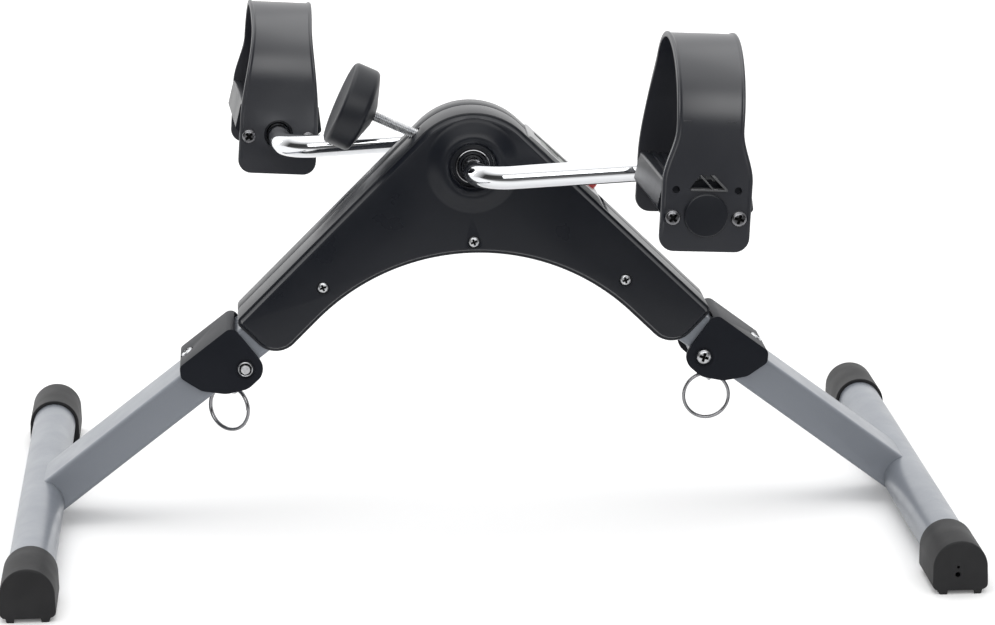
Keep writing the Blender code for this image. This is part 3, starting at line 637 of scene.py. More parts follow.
def screw_head(radius, height, shank, length):
    """Pan head with a cross recess along local z; z = 0 is its seat."""
    dome = [(shank, -length), (shank, 0), (radius, 0), (radius, height * 0.35)]
    for i in range(1, 7):
        turn = radians(90 * i / 7)
        dome.append((radius * (0.45 + 0.55 * cos(turn)), height * (0.35 + 0.65 * sin(turn))))
    dome.append((radius * 0.35, height * 1.0))
    return stepped(dome, 40)


def cross_cuts(radius, height, local, turn):
    """Two tapered slots of a cross recess."""
    cuts = []
    for quarter in (0, 90):
        place = local @ Matrix.Rotation(radians(turn + quarter), 4, "Z")
        outlines = []
        for long, wide in ((radius * 0.42, radius * 0.12), (radius * 0.68, radius * 0.2)):
            outlines.append([(-long, -wide), (long, -wide), (long, wide), (-long, wide)])
        cuts.append((layers((outlines[0], -height * 0.1), (outlines[1], height * 1.15)), place))
    return cuts


def make_screw(name, local, radius, height, shank, length, body, node, look=None, turn=20):
    head = piece(
        name,
        screw_head(radius, height, shank, length),
        local,
        cuts=cross_cuts(radius, height, local, turn),
        sharp=30,
        # The cross recess's cut faces take the painted shade look, standing in for the shade in its slots.
        cut_look=RECESS_SHADE,
    )
    return finish_piece(head, body, "zinc_steel", node, material=look)


# ---------------------------------------------------------------- housing


def cover_shell(facing):
    """One cover: facing is -1 for the front shell and 1 for the rear one.

    Its face stands forward of a small step round the rim, and the front shell has a groove along
    the seam.
    """
    seam = SEAM_Y + facing * GAP / 2
    stack = [(3.4, 25.0), (2.9, 24.9), (2.6, 24.65), (2.45, 24.3)]
    stack += [(1.25, 21.35), (1.1, 21.15), (0.25, 21.1), (0.08, 21.0), (0.0, 20.8)]
    stack = [(inset, facing * y) for inset, y in stack]
    if facing < 0:
        stack += [(0.0, seam - 1.2), (0.15, seam - 1.0), (0.75, seam - 0.95), (0.75, seam)]
    else:
        stack += [(0.0, seam + 0.25), (0.15, seam)]
    stack += [(COVER_WALL, seam), (COVER_WALL, facing * 20.0), (COVER_WALL + 2.0, facing * 22.8)]
    return loft([[(x, y, z) for x, z in chevron(inset)] for inset, y in stack])


def hub_boss():
    """Smooth domed ring round the axle, on a cover's face."""
    steps = [(26.6, 24.0), (26.6, 24.95), (25.4, 25.1), (24.2, 25.6), (23.0, 26.25), (21.6, 27.1)]
    steps += [(20.2, 27.95), (18.8, 28.65), (17.5, 29.15), (16.3, 29.35), (15.2, 29.2), (14.2, 28.7)]
    steps += [(13.4, 27.9), (12.8, 26.9), (12.4, 25.7)]
    return stepped(steps, 120)


def make_cover(name, facing):
    cuts = [(prism(circle(11.6, 72), 15, 40), axle_frame(facing))]
    half = TUBE_WIDTH / 2 + 0.4
    height = (TUBE_BOTTOM_W - 0.5, TUBE_TOP_W + 0.5)
    for side_name in SIDES:
        cuts.append((box((-30, 30), (-half, half), height), leg_frame(side_name)))
    cuts.append((prism(circle(THREAD_RADIUS + 1.4, 32), 26, 44), knob_frame()))
    margin = DISPLAY_HALF_WIDTH + GAP
    notch = (DISPLAY_U[0] - GAP, DISPLAY_U[1] + GAP)
    cuts.append((box(notch, (-margin, margin), (DISPLAY_V[0] - 1, 182)), arm_frame(1)))
    joins = [(hub_boss(), axle_frame(facing))]
    if facing < 0:
        for x, z in COVER_SCREWS.values():
            hole = [(3.9, -30), (3.9, -24.0), (3.3, -23.9), (1.8, -23.8), (1.8, -15)]
            cuts.append((stepped(hole, 40), along_y(x, z)))
    cover = piece(name, cover_shell(facing), joins=joins, cuts=cuts, sharp=35)
    finish_piece(cover, "housing", "black_plastic", name.replace("_skin", ""))


def make_hub():
    for name, facing in (("front", -1), ("rear", 1)):
        local = axle_frame(facing)
        bush = [(6.7, 15.5), (10.4, 15.5), (10.4, 22.6), (11.4, 22.6), (11.4, 23.8), (6.7, 23.8)]
        obj = piece(name + "_bush_look", turned(bush), local)
        finish_piece(obj, "housing", "black_plastic", name + "_axle_bush")
        ring = [(7.9, 24.0), (9.6, 24.0), (9.6, 24.9), (9.3, 25.4), (8.9, 25.5), (8.2, 24.7), (7.9, 24.4)]
        obj = piece(name + "_ring_look", turned(ring), local)
        finish_piece(obj, "housing", "chrome", name + "_axle_ring", material=RING_STEEL)


def make_cover_screws():
    for name, (x, z) in COVER_SCREWS.items():
        local = along_y(x, z) @ local_frame((0, 0, -HALF_DEPTH + 1.0), (1, 0, 0), (0, -1, 0), (0, 0, -1))
        make_screw("cover_screw_look_" + name, local, 2.9, 1.7, 1.4, 20, "housing", "cover_screw_" + name)


def make_display():
    local = arm_frame(1)
    half = DISPLAY_HALF_WIDTH
    low, high = DISPLAY_V
    outline = rounded(
        [
            (DISPLAY_U[0], low, 0),
            (DISPLAY_U[1], low, 0),
            (DISPLAY_U[1], low + 4.2, 0.8),
            (DISPLAY_U[1] - 10, high - 0.5, 2.5),
            (DISPLAY_U[0], high - 1.5, 1.2),
        ],
        8,
    )
    pocket = rectangle(LENS_U, (-LENS_HALF_WIDTH, LENS_HALF_WIDTH), 2.0)
    well = local @ shifted(BUTTON_U, 0, 0)
    cuts = [
        (prism(pocket, high - 2.6, high + 5), local),
        (prism(circle(BUTTON_RADIUS + 0.35), low + 1.5, high + 5), well),
    ]
    case = piece("display_case_look", slab(outline, (-half, half)), local, cuts=cuts, bevel=0.45, segments=3)
    finish_piece(case, "housing", "black_plastic", "display_case", material=DISPLAY_PLASTIC)
    half_lens = LENS_HALF_WIDTH - 0.2
    window = rectangle((LENS_U[0] + 0.2, LENS_U[1] - 0.2), (-half_lens, half_lens), 1.8)
    lens = piece("display_window", prism(window, high - 2.55, high - 1.75), local)
    finish_piece(lens, "housing", "lens", "display_lens")
    panel_u, panel_y = (LENS_U[0] + 5, LENS_U[1] - 5), (-9.5, 9.5)
    panel = piece("display_panel", prism(rectangle(panel_u, panel_y, 0.8), high - 1.74, high - 1.68), local)
    finish_piece(panel, "housing", "lens", material=make_panel())
    make_digits(local @ shifted((panel_u[0] + panel_u[1]) / 2, 0, high - 1.67))
    button = [(BUTTON_RADIUS, low + 3.2), (BUTTON_RADIUS, high + 1.6)]
    for i in range(1, 8):
        turn = radians(90 * i / 7)
        button.append((BUTTON_RADIUS - 2.0 + 2.0 * cos(turn), high + 1.6 + 1.4 * sin(turn)))
    button.append((1.2, high + 3.05))
    obj = piece("mode_button_look", stepped(button), well)
    finish_piece(obj, "mode_button", "red_plastic", "mode_button")


def make_digits(local):
    """Four segmented zeros on the panel, read from the button's side."""
    half_length, half_width, bar = 4.5, 1.7, 0.55
    pitch = 4.8
    mesh = bmesh.new()
    for digit in range(4):
        centre = (digit - 1.5) * pitch
        left, right = centre - half_width, centre + half_width
        across = (left + bar + 0.1, right - bar - 0.1)
        edges = [
            ((-half_length, half_length), (left, left + bar)),
            ((-half_length, half_length), (right - bar, right)),
            ((-half_length, -half_length + bar), across),
            ((half_length - bar, half_length), across),
        ]
        for u, y in edges:
            part = prism(rectangle(u, y), 0.0, 0.05)
            data = bpy.data.meshes.new("segment")
            part.to_mesh(data)
            part.free()
            mesh.from_mesh(data)
    obj = piece("display_digits", mesh, local)
    finish_piece(obj, "housing", "lens")


# ---------------------------------------------------------------- tension knob


def threaded_rod():
    """Rod with a helical thread of THREAD_PITCH."""
    count, per_turn = 28, 6
    loops = []
    low, high = THREAD_D[0] + 0.6, THREAD_D[1]
    total = int((high - low) / THREAD_PITCH * per_turn)
    for k in range(total + 1):
        z = low + (high - low) * k / total
        loop = []
        for i in range(count):
            phase = (z / THREAD_PITCH - i / count) % 1.0
            depth = abs(2 * phase - 1)
            radius = THREAD_RADIUS - 0.55 * (1 - depth)
            a = 2 * pi * i / count
            loop.append((radius * cos(a), radius * sin(a), z))
        loops.append(loop)
    return loft(loops)


def make_tension():
    local = knob_frame()
    rod = piece("tension_rod_look", threaded_rod(), local, sharp=60)
    finish_piece(rod, "tension_knob", "zinc_steel", "tension_rod")
    low, high = KNOB_D
    profile = [(THREAD_RADIUS + 0.1, low), (6.2, low), (7.0, low + 0.3), (10.5, low + 1.5)]
    profile += [(14.0, low + 2.6), (17.5, low + 3.8), (20.2, low + 4.8)]
    profile += arc((KNOB_RADIUS - 3.4, low + 8.2), 3.4, -50, 0, 5)
    profile += arc((KNOB_RADIUS - 2.4, high - 2.4), 2.4, 0, 90, 9)
    profile += [(14.0, high + 0.25), (7.0, high + 0.4), (THREAD_RADIUS + 0.1, high + 0.45)]
    knob = piece("tension_knob_look", turned(profile, 128), local, sharp=50)
    finish_piece(knob, "tension_knob", "black_plastic", "tension_knob", material=KNOB_PLASTIC)
    plug = stepped([(THREAD_RADIUS + 0.3, high - 1.1), (THREAD_RADIUS + 0.3, high + 0.42)], 48)
    plug = piece("tension_knob_plug", plug, local)
    finish_piece(plug, "tension_knob", "black_plastic")


# ---------------------------------------------------------------- crank and pedals


def make_crank():
    corners_of = {name: joint_point(name + "_pedal_spin") for name in SIDES}
    ends = {name: pedal_frame(name) @ Vector((0, 0, SPINDLE_LENGTH)) for name in SIDES}
    corners = [ends["right"], corners_of["right"], (0, -ARM_PLANE_Y, AXLE_Z), (0, ARM_PLANE_Y, AXLE_Z)]
    corners += [corners_of["left"], ends["left"]]
    rod = piece("crank_rod_look", swept(bent_path(corners, ROD_BEND, 28), ROD_RADIUS, 48), sharp=60)
    finish_piece(rod, "crank", "chrome", "crank_rod")


def strap_width(length, half_length, wide, shoulder, neck):
    if length < STRAP_CORNER:
        return wide - 2 * (STRAP_CORNER - sqrt(STRAP_CORNER**2 - (STRAP_CORNER - length) ** 2))
    if length > neck:
        spread = (length - neck) / (half_length - neck)
        return STRAP_NARROW + (STRAP_TOP_WIDTH - STRAP_NARROW) * spread
    ease = max((length - shoulder) / (neck - shoulder), 0)
    return wide + (STRAP_NARROW - wide) * ease * ease * (3 - 2 * ease)


def half_strap(rise, foot_h, wide, shoulder, neck):
    """(s, h, width, turn, length) from the inner plate's foot to the top of the strap."""
    half_span = (PEDAL_OUTER_S - PEDAL_INNER_S - STRAP_THICKNESS) / 2
    middle = (PEDAL_OUTER_S + PEDAL_INNER_S) / 2
    spring_h = rise - half_span - STRAP_THICKNESS / 2
    straight = spring_h - foot_h
    total = straight + half_span * pi / 2
    corner = [STRAP_CORNER * (1 - cos(radians(90 * i / 8))) for i in range(9)]
    run = [STRAP_CORNER + (total - STRAP_CORNER) * i / 64 for i in range(1, 65)]
    stations = []
    for length in corner + run:
        turn = max(length - straight, 0) / half_span
        s = middle - half_span * cos(turn)
        h = min(foot_h + length, spring_h + half_span * sin(turn))
        stations.append((s, h, strap_width(length, total, wide, shoulder, neck), turn, length))
    return stations


def strap_stations(name):
    """half_strap's stations for the whole strap, from the inner plate's foot to the outer one's."""
    middle = (PEDAL_OUTER_S + PEDAL_INNER_S) / 2
    rise, wide = STRAP_RISE[name], STRAP_WIDE[name]
    inner_foot, outer_foot = STRAP_ENDS_H[name]
    inner = half_strap(rise, inner_foot, wide, *INNER_TAPER)
    outer = half_strap(rise, outer_foot, wide, *OUTER_TAPER)
    for s, h, width, turn, length in outer[-2::-1]:
        inner.append((2 * middle - s, h, width, pi - turn, length))
    return inner


def strap_mesh(name):
    """Strap with a rounded bead raised along both edges of its outer face."""
    loops = []
    out = STRAP_THICKNESS / 2
    for s, h, width, turn, length in strap_stations(name):
        half = width / 2
        bead = min(max((length - STRAP_CORNER) / 8, 0), 1)
        raised = [(2.6, 0.0), (2.1, 0.12), (1.7, 0.5), (1.1, 0.7), (0.5, 0.55), (0.1, 0.1)]
        section = [(-half + inset, out + rise * bead) for inset, rise in raised]
        section += [(-half, -out + 0.4), (-half + 0.35, -out)]
        mirrored = [(-t, o) for t, o in reversed(section)]
        loop = []
        for t, o in section + mirrored:
            loop.append((t, h + sin(turn) * o, s - cos(turn) * o))
        loops.append(loop)
    return loft(loops)


def pedal_outline():
    """(t, h) outline of the pedal block, with grip ribs along its top."""
    sides = [(24.8, 2.5, 2.0), (15.0, -8.0, 5.0), (11.0, -15.0, 4.0)]
    mirrored = [(-t, h, radius) for t, h, radius in reversed(sides)]
    block = rounded([(22.3, 17.0, 1.5), *sides, *mirrored, (-22.3, 17.0, 1.5)], 6)
    tread = []
    for i in range(9):
        centre = -17.6 + i * 4.4
        tread += [(centre - 1.1, 17.0), (centre - 0.8, 16.1), (centre + 0.8, 16.1), (centre + 1.1, 17.0)]
    return block + tread


def make_pedal(name):
    local = pedal_frame(name)
    body = name + "_pedal"
    inner_face = PEDAL_INNER_S + STRAP_THICKNESS + GAP
    outer_face = PEDAL_OUTER_S - STRAP_THICKNESS - GAP
    cuts = [(prism(circle(ROD_RADIUS + 0.4), 30, 130), local)]
    cuts.append((prism(circle(SPINDLE_PLUG_RADIUS + GAP), SPINDLE_LENGTH + 0.5, 130), local))
    cuts.append((prism(window_outline(), outer_face - 5, 130), local))
    block = piece(name + "_pedal_block", prism(pedal_outline(), inner_face, outer_face), local, cuts=cuts)
    finish_piece(block, body, "black_plastic", name + "_pedal_body")
    make_strap(name, local, body)
    plug, seat = SPINDLE_PLUG_RADIUS, PEDAL_OUTER_S + GAP
    cap_steps = [(plug, SPINDLE_LENGTH + 1), (plug, seat), (PEDAL_CAP_RADIUS, seat)]
    cap_steps += arc((PEDAL_CAP_RADIUS - 0.8, PEDAL_OUTER_S + 1.0), 0.8, 0, 90, 5)
    cap = piece(name + "_spindle_cap", stepped(cap_steps, 72), local)
    finish_piece(cap, body, "black_plastic", name + "_pedal_cap", material=CAP_PLASTIC)


def window_outline():
    """(t, h) outline of the small window over the spindle cap on the outer plate."""
    return rounded([(-9.5, 12.6, 0.8), (10.6, 12.6, 0.6), (3.4, 20.6, 0.8), (-4.2, 20.6, 1.5)], 5)


def make_strap(name, local, body):
    cuts = [(prism(circle(SPINDLE_PLUG_RADIUS + GAP), 30, 130), local)]
    for s in (PEDAL_INNER_S, PEDAL_OUTER_S):
        for t in (-STRAP_SCREW_T, STRAP_SCREW_T):
            cuts.append((prism(circle(1.95, 24), s - 6, s + 6), local @ shifted(t, STRAP_SCREW_H, 0)))
    for t in (-STRAP_SCREW_T, STRAP_SCREW_T):
        hole = local @ shifted(t * 0.94, 12.8, 0)
        cuts.append((prism(circle(1.9, 24), PEDAL_OUTER_S - 6, PEDAL_OUTER_S + 6), hole))
    cuts.append((prism(window_outline(), PEDAL_OUTER_S - 6, PEDAL_OUTER_S + 6), local))
    strap = piece(name + "_strap", strap_mesh(name), local, cuts=cuts, sharp=42)
    finish_piece(strap, body, "strap_vinyl", name + "_pedal_strap")
    make_window_ribs(name, local, body)
    make_strap_marks(name, local, body)
    for face, direction, s in (("inner", -1, PEDAL_INNER_S), ("outer", 1, PEDAL_OUTER_S)):
        for index, t in enumerate((-STRAP_SCREW_T, STRAP_SCREW_T), 1):
            axes = ((1, 0, 0), (0, direction, 0), (0, 0, direction))
            out = local @ local_frame((t, STRAP_SCREW_H, s + direction * 0.1), *axes)
            label = f"{name}_{face}_screw_look_{index}"
            node = f"{name}_{face}_strap_screw_{index}"
            make_screw(label, out, 4.0, 2.4, 1.6, 8, body, node, DARK_STEEL, 15 + 30 * index)


def make_window_ribs(name, local, body):
    """Slanting ribs across the window, and the ledge along its foot, lighter than the housing's black: a painted
    highlight.
    """
    face = PEDAL_OUTER_S
    foot = WINDOW_FOOT_H
    bars = [
        ((-3.8, 20.2), (3.4, foot), 0.8),
        ((2.4, 20.4), (10.2, foot), 1.1),
        ((-8.6, foot), (10.4, foot), 0.9),
    ]
    for index, (start, end, thick) in enumerate(bars):
        along = Vector((end[0] - start[0], end[1] - start[1], 0))
        turn = atan2(along.y, along.x)
        half = along.length / 2
        outline = rectangle((-half, half), (-thick / 2, thick / 2), thick * 0.4, 3)
        middle = ((start[0] + end[0]) / 2, (start[1] + end[1]) / 2, 0)
        place = local @ Matrix.Translation(middle) @ Matrix.Rotation(turn, 4, "Z")
        rib = prism(outline, face - 3.2, face + 1.0)
        bar = piece(f"{name}_window_rib_{index}", rib, place, bevel=0.3, segments=3)
        finish_piece(bar, body, "strap_vinyl", material=RIB_HIGHLIGHT_PLASTIC)


def make_strap_marks(name, local, body):
    """Two small moulding marks on the outer plate."""
    for t in (-12.2, 10.5):
        mark = slab([(-2.0, 0.0), (2.0, 0.0), (2.0, 0.8), (-2.0, 0.8)], (-0.25, 0.25))
        place = local @ shifted(t, 48.0, PEDAL_OUTER_S - 0.5)
        obj = piece(f"{name}_strap_mark_{'a' if t < 0 else 'b'}", mark, place, bevel=0.1)
        finish_piece(obj, body, "strap_vinyl")


# ---------------------------------------------------------------- legs


def tube_section(wall):
    half = TUBE_WIDTH / 2 - wall
    return rectangle((-half, half), (TUBE_BOTTOM_W + wall, TUBE_TOP_W - wall), TUBE_CORNER - wall, 10)


def frame_end_keep():
    """(u, w) outline that a frame tube is kept inside; its end is round about the hinge."""
    edge = arc((0, 0), TUBE_TOP_W, -20, 90, 40)
    return [(FRAME_START_U - 5, -12), (0, -12), *edge, (FRAME_START_U - 5, TUBE_TOP_W + 5)]


def make_frame_tube(name):
    local = leg_frame(name)
    half = TUBE_WIDTH / 2
    inner = half - TUBE_WALL
    tube = link("tube", along_u(tube_section(0), (FRAME_START_U, 24)), local)
    steps = [
        ("DIFFERENCE", along_u(tube_section(TUBE_WALL), (FRAME_START_U - 5, 30))),
        ("UNION", slab(circle(6.2), (-half, half))),
        ("DIFFERENCE", slab(circle(3.25), (-half - 5, half + 5))),
        ("DIFFERENCE", box((7.2, 30), (-inner, inner), (-5, 3))),
        ("UNION", box((8, 30), (-inner - 0.6, inner + 0.6), (8.5, 10.5))),
        ("DIFFERENCE", box((12.4, 30), (-2.6, 2.6), (7.5, 11.5))),
        ("INTERSECT", slab(frame_end_keep(), (-half - 3, half + 3))),
    ]
    for operation, mesh in steps:
        helper = link("tube_helper", mesh, local)
        modifier = tube.modifiers.new(operation, "BOOLEAN")
        modifier.operation = operation
        modifier.object = helper
        apply_modifiers(tube)
        bpy.data.objects.remove(helper, do_unlink=True)
    tube.name = name + "_frame_tube_look"
    tube.data.shade_smooth()
    tube.data.set_sharp_from_angle(angle=radians(32))
    finish_piece(tube, "housing", "silver_paint", name + "_frame_tube")


def make_leg_tube(name):
    local = leg_frame(name)
    hinge = joint_point(name + "_leg_fold")
    reach = hypot(FOOT_X - abs(hinge.x), FOOT_TUBE_HEIGHT - hinge.z)
    at_foot = along_y(SIDES[name] * FOOT_X, FOOT_TUBE_HEIGHT)
    cuts = [
        (along_u(tube_section(TUBE_WALL), (LEG_START_U - 5, reach + 30)), local),
        (prism(circle(FOOT_TUBE_RADIUS + 0.05, 96), -40, 40), at_foot),
        (prism(circle(1.9, 24), 10, 30), local @ shifted(COVER_SCREW_U, 0, 0)),
    ]
    blank = along_u(tube_section(0), (LEG_START_U, reach + 4))
    tube = piece(name + "_leg_tube_look", blank, local, cuts=cuts)
    finish_piece(tube, name + "_leg", "silver_paint", name + "_leg_tube")


def foot_cap_outline():
    """(x, z) outline of a cap: a D on its flat side, standing on two ribs."""
    half, rib = CAP_HALF_WIDTH, CAP_RIB_HEIGHT
    arch = arc((0, FOOT_TUBE_HEIGHT), half - 0.2, 0, 180, 56)
    low = [(-half, 6.0)] + arc((-half + 3, rib + 3), 3.0, 180, 270, 8)
    low += [(-11.5, rib), (-11.1, 0.15), (-10.9, 0), (-7.9, 0), (-7.7, 0.15), (-7.3, rib)]
    return arch + low + [(-x, z) for x, z in reversed(low)]


def narrowed(outline, scale):
    """The cap's outline shrunk about its middle, with its ribs still on the floor."""
    points = []
    for x, z in outline:
        points.append((x * scale, (z - CAP_MIDDLE_Z) * scale + CAP_MIDDLE_Z if z > CAP_RIB_HEIGHT else z))
    return points


def make_foot(name):
    side, body = SIDES[name], name + "_leg"
    end = FOOT_HALF_LENGTH - 3.5
    at_foot = along_y(side * FOOT_X, FOOT_TUBE_HEIGHT)
    tube = [(10.8, -end), (FOOT_TUBE_RADIUS, -end), (FOOT_TUBE_RADIUS, end), (10.8, end)]
    bar = piece(name + "_foot_tube_look", turned(tube, 96), at_foot)
    finish_piece(bar, body, "silver_paint", name + "_foot_tube")
    for label, facing in (("front", -1), ("rear", 1)):
        tip, mouth = facing * FOOT_HALF_LENGTH, facing * (FOOT_HALF_LENGTH - CAP_LENGTH)
        stack = []
        for i in range(7):
            turn = radians(90 * i / 6)
            scale = 1 - 0.085 * (1 - sin(turn))
            stack.append((narrowed(foot_cap_outline(), scale), tip - facing * 1.3 * (1 - cos(turn))))
        stack.append((foot_cap_outline(), mouth + facing * 0.4))
        stack.append((narrowed(foot_cap_outline(), 0.975), mouth))
        mesh = loft([[(x, y, z) for x, z in outline] for outline, y in stack])
        bore = prism(circle(FOOT_TUBE_RADIUS + 0.05, 96), mouth - facing * 5, facing * (end + GAP))
        cuts = [(bore, at_foot)]
        at_bar = shifted(side * FOOT_X, 0, 0)
        if name == "right" and facing < 0:
            cuts.append((prism(circle(1.4, 24), tip + 5, tip - 5), at_foot @ shifted(-1.5, 3.5, 0)))
            cuts.append((prism(circle(0.8, 24), tip + 5, tip - 5), at_foot @ shifted(-1.3, -0.5, 0)))
        cap = piece(f"{name}_{label}_cap_look", mesh, at_bar, cuts=cuts, sharp=38)
        finish_piece(cap, body, "rubber", f"{name}_{label}_foot_cap")


def hinge_plate_outline():
    """(u, w) outline: flat on top, its lower edge rising from the hinge to the tail."""
    return rounded(
        [
            (-9.3, HINGE_COVER_TOP_W, 4.5),
            (27.4, HINGE_COVER_TOP_W, 3.0),
            (31.0, 18.0, 4.0),
            (26.6, 5.2, 9.0),
            (17.2, -4.6, 12.0),
            (6.0, -9.9, 10.0),
            (-9.2, -8.6, 8.4),
        ],
        12,
    )


def make_hinge_cover(name):
    local = leg_frame(name)
    body = name + "_leg"
    half = HINGE_COVER_HALF_WIDTH
    inner = half - HINGE_COVER_WALL
    web = HINGE_COVER_TOP_W - HINGE_COVER_WALL
    tail = (PIN_U + 4.6, 40)
    at_screw = local @ shifted(COVER_SCREW_U, 0, 0)
    at_pin = local @ shifted(PIN_U, 0, 0)
    cuts = [
        (box((-20, LEG_START_U + 7.5), (-inner, inner), (BRIDGE_W[1], web)), local),
        (box((-20, PIN_U - 4.6), (-inner, inner), (-15, 5)), local),
        (box(tail, (-inner, inner), (-15, TUBE_TOP_W + 0.1)), local),
        (box((PIN_U - 8, PIN_U + 8), (-inner, inner), (-15, BRIDGE_W[0])), local),
        (prism(circle(PIN_RADIUS + 0.4, 32), -10, 2), at_pin),
        (slab(circle(3.3), (-half - 5, half + 5)), local),
        (prism(circle(1.9, 24), 15, 40), at_screw),
        (prism(circle(4.4, 48), HINGE_COVER_TOP_W - 1.0, 40), at_screw),
    ]
    for facing in (-1, 1):
        recess = (facing * (half - 0.7), facing * (half + 5))
        cuts.append((slab(circle(5.6), recess), local))
    cover = slab(hinge_plate_outline(), (-half, half))
    cover = piece(name + "_hinge_cover_look", cover, local, cuts=cuts, bevel=0.9, segments=4, sharp=40)
    finish_piece(cover, body, "black_plastic", name + "_hinge_cover", material=HINGE_PLASTIC)
    seat = at_screw @ shifted(0, 0, HINGE_COVER_TOP_W - 1.0)
    make_screw(name + "_hinge_cover_screw_look", seat, 3.6, 1.9, 1.5, 6, body, name + "_hinge_cover_screw")


def make_hinge_bolt(name):
    local = leg_frame(name)
    body = name + "_leg"
    facing = -SIDES[name]
    reach = HINGE_COVER_HALF_WIDTH - 0.7
    out = local @ local_frame((0, facing * reach, 0), (1, 0, 0), (0, 0, -facing), (0, facing, 0))
    make_screw(name + "_hinge_bolt_look", out, 4.1, 2.6, 2.5, reach * 2 + 3.0, body, name + "_hinge_bolt")
    far = local @ local_frame((0, -facing * reach, 0), (1, 0, 0), (0, 0, facing), (0, -facing, 0))
    nut = [(2.6, 0), (4.2, 0), (4.2, 1.5), (4.0, 1.9), (3.8, 2.05), (3.5, 1.9), (3.4, 0.4), (2.6, 0.4)]
    nut = piece(name + "_hinge_nut_look", turned(nut, 64), far)
    finish_piece(nut, body, "zinc_steel", name + "_hinge_nut")
    # A near-black ring on the groove's floor: painted shade, standing in for the shade deep in the groove.
    groove = turned([(2.6, 0.45), (3.35, 0.45), (3.35, 0.8), (2.6, 0.8)], 64)
    groove = piece(name + "_hinge_nut_groove_shade", groove, far)
    finish_piece(groove, body, "zinc_steel", material=RECESS_SHADE)


def make_lock(name):
    """The pin's spring, built at one length though the real one shortens as the pin is pulled, and the split ring
    in the pin's eye.
    """
    local = leg_frame(name) @ shifted(PIN_U, 0, 0)
    spring = []
    turns, per_turn, radius = 5, 24, 3.3
    low, high = BRIDGE_W[1] + 0.4, PIN_FLANGE_W[0] - 0.4
    for i in range(turns * per_turn + 1):
        a = 2 * pi * i / per_turn
        spring.append((radius * cos(a), radius * sin(a), low + (high - low) * i / (turns * per_turn)))
    coil = piece(name + "_lock_spring_look", swept(spring, 0.35, 10), local, sharp=60)
    finish_piece(coil, name + "_leg", "zinc_steel", name + "_lock_spring")
    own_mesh(coil)
    eye = joint_point(name + "_ring_swing")
    yaw = radians(RING_TURN[name]) * SIDES[name]
    across = Vector((cos(yaw), sin(yaw), 0))
    through = Vector((-sin(yaw), cos(yaw), 0))
    lean = radians(RING_LEAN[name]) * SIDES[name]
    centre = eye + (across * sin(lean) - Vector((0, 0, cos(lean)))) * RING_RADIUS
    path = []
    per_turn = 72
    total = 2 * per_turn - 8
    for i in range(total + 1):
        a = 2 * pi * i / per_turn
        lift = -0.5 + i / total
        place = centre + across * (RING_RADIUS * cos(a)) + Vector((0, 0, RING_RADIUS * sin(a)))
        path.append(place + through * lift)
    ring = piece(name + "_pull_ring_look", swept(path, 0.95, 16), sharp=60)
    finish_piece(ring, name + "_pull_ring", "chrome", name + "_pull_ring", material=RING_STEEL)


# ---------------------------------------------------------------- studio


def make_floor():
    """Pale to the camera. To other rays it is dark in front, which keeps the black faces dark."""
    mesh = bmesh.new()
    half = FLOOR_HALF_SIZE
    corners = [(-half, -half), (half, -half), (half, half), (-half, half)]
    mesh.faces.new([mesh.verts.new((x, y, -0.05)) for x, y in corners])
    floor = link("studio_floor", mesh, Matrix.Identity(4))
    pale, dark = (0.85, 0.85, 0.85), (0.08, 0.08, 0.08)
    material, shader = shader_of("floor_look", pale, 0.9, Specular_IOR_Level=0.05)
    position = add_node(material, "ShaderNodeTexCoord").outputs["Object"]
    seen = add_node(material, "ShaderNodeLightPath").outputs["Is Camera Ray"]
    axes = add_node(material, "ShaderNodeSeparateXYZ")
    feed(axes, "Vector", position)
    depth = ramp(material, axes.outputs["Y"], 0.0, 1.0, -0.7, -0.3)
    paleness = combined(material, "MAXIMUM", depth, seen)
    feed(shader, "Base Color", mix_colour(material, paleness, dark, pale, 0.0, 1.0))
    distance = add_node(material, "ShaderNodeVectorMath", operation="LENGTH")
    feed(distance, 0, position)
    glow = ramp(material, distance.outputs["Value"], 0.1, 0.8, 0.8, 4.0)
    feed(shader, "Emission Strength", combined(material, "MULTIPLY", glow, seen))
    shader.inputs["Emission Color"].default_value = (1.0, 1.0, 1.0, 1.0)
    floor.data.materials.append(material)


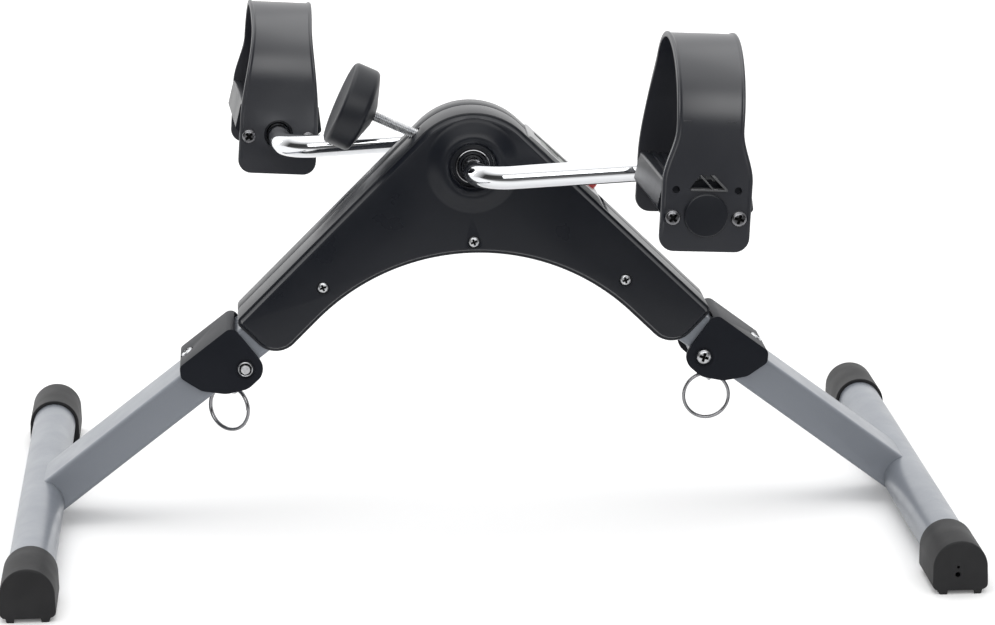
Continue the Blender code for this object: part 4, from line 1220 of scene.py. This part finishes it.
def make_world():
    """White to the camera. It lights from behind and overhead, and little from the front."""
    world = bpy.data.worlds.new("studio")
    bpy.context.scene.world = world
    world.use_nodes = True
    axes = add_node(world, "ShaderNodeSeparateXYZ")
    feed(axes, "Vector", add_node(world, "ShaderNodeTexCoord").outputs["Generated"])
    behind = ramp(world, axes.outputs["Y"], 0.0, 1.0, -0.25, 0.45)
    above = ramp(world, axes.outputs["Z"], 0.0, 1.0, 0.45, 0.85)
    lit = ramp(world, combined(world, "MAXIMUM", behind, above), 0.05, 1.4, 0.0, 1.0)
    seen = add_node(world, "ShaderNodeLightPath").outputs["Is Camera Ray"]
    background = world.node_tree.nodes["Background"]
    feed(background, "Strength", combined(world, "MAXIMUM", lit, seen))
    background.inputs["Color"].default_value = (1.0, 1.0, 1.0, 1.0)


def make_light(name, place, target, size, watts):
    light = bpy.data.lights.new(name, "AREA")
    light.shape = "RECTANGLE"
    light.size, light.size_y = size
    light.energy = watts
    obj = bpy.data.objects.new(name, light)
    bpy.context.collection.objects.link(obj)
    obj.location = place
    obj.rotation_euler = (Vector(target) - Vector(place)).to_track_quat("-Z", "Y").to_euler()


def make_camera():
    yaw, pitch, roll = radians(3.63), radians(13.332), radians(-0.671)
    forward = Vector((sin(yaw) * cos(pitch), cos(yaw) * cos(pitch), -sin(pitch)))
    level = Vector((cos(yaw), -sin(yaw), 0))
    above = level.cross(forward)
    right = level * cos(roll) + above * sin(roll)
    up = above * cos(roll) - level * sin(roll)
    camera = bpy.data.cameras.new("camera")
    camera.sensor_width = 36.0
    camera.lens = 144.72
    camera.clip_end = 50
    obj = bpy.data.objects.new("camera", camera)
    bpy.context.collection.objects.link(obj)
    obj.matrix_world = local_frame(CAMERA_POSITION, right, up, -forward)
    bpy.context.scene.camera = obj


def main():
    make_camera()
    dress_nodes()
    make_cover("front_cover_skin", -1)
    make_cover("rear_cover_skin", 1)
    make_hub()
    make_cover_screws()
    make_display()
    make_tension()
    make_crank()
    for name in SIDES:
        make_pedal(name)
        make_frame_tube(name)
        make_leg_tube(name)
        make_foot(name)
        make_hinge_cover(name)
        make_hinge_bolt(name)
        make_lock(name)
    make_floor()
    make_world()
    make_light("top_light", (-0.2, 0.1, 2.2), (0, 0, 0.1), (2.4, 1.6), 12)
    make_light("front_light", (0.1, -2.85, 1.35), (0, 0, 0.15), (3.0, 1.5), 38)
    make_light("side_light", (-2.2, 1.3, 0.8), (0, 0, 0.15), (1.2, 1.2), 8)
    bpy.context.scene.view_settings.view_transform = "Standard"


main()
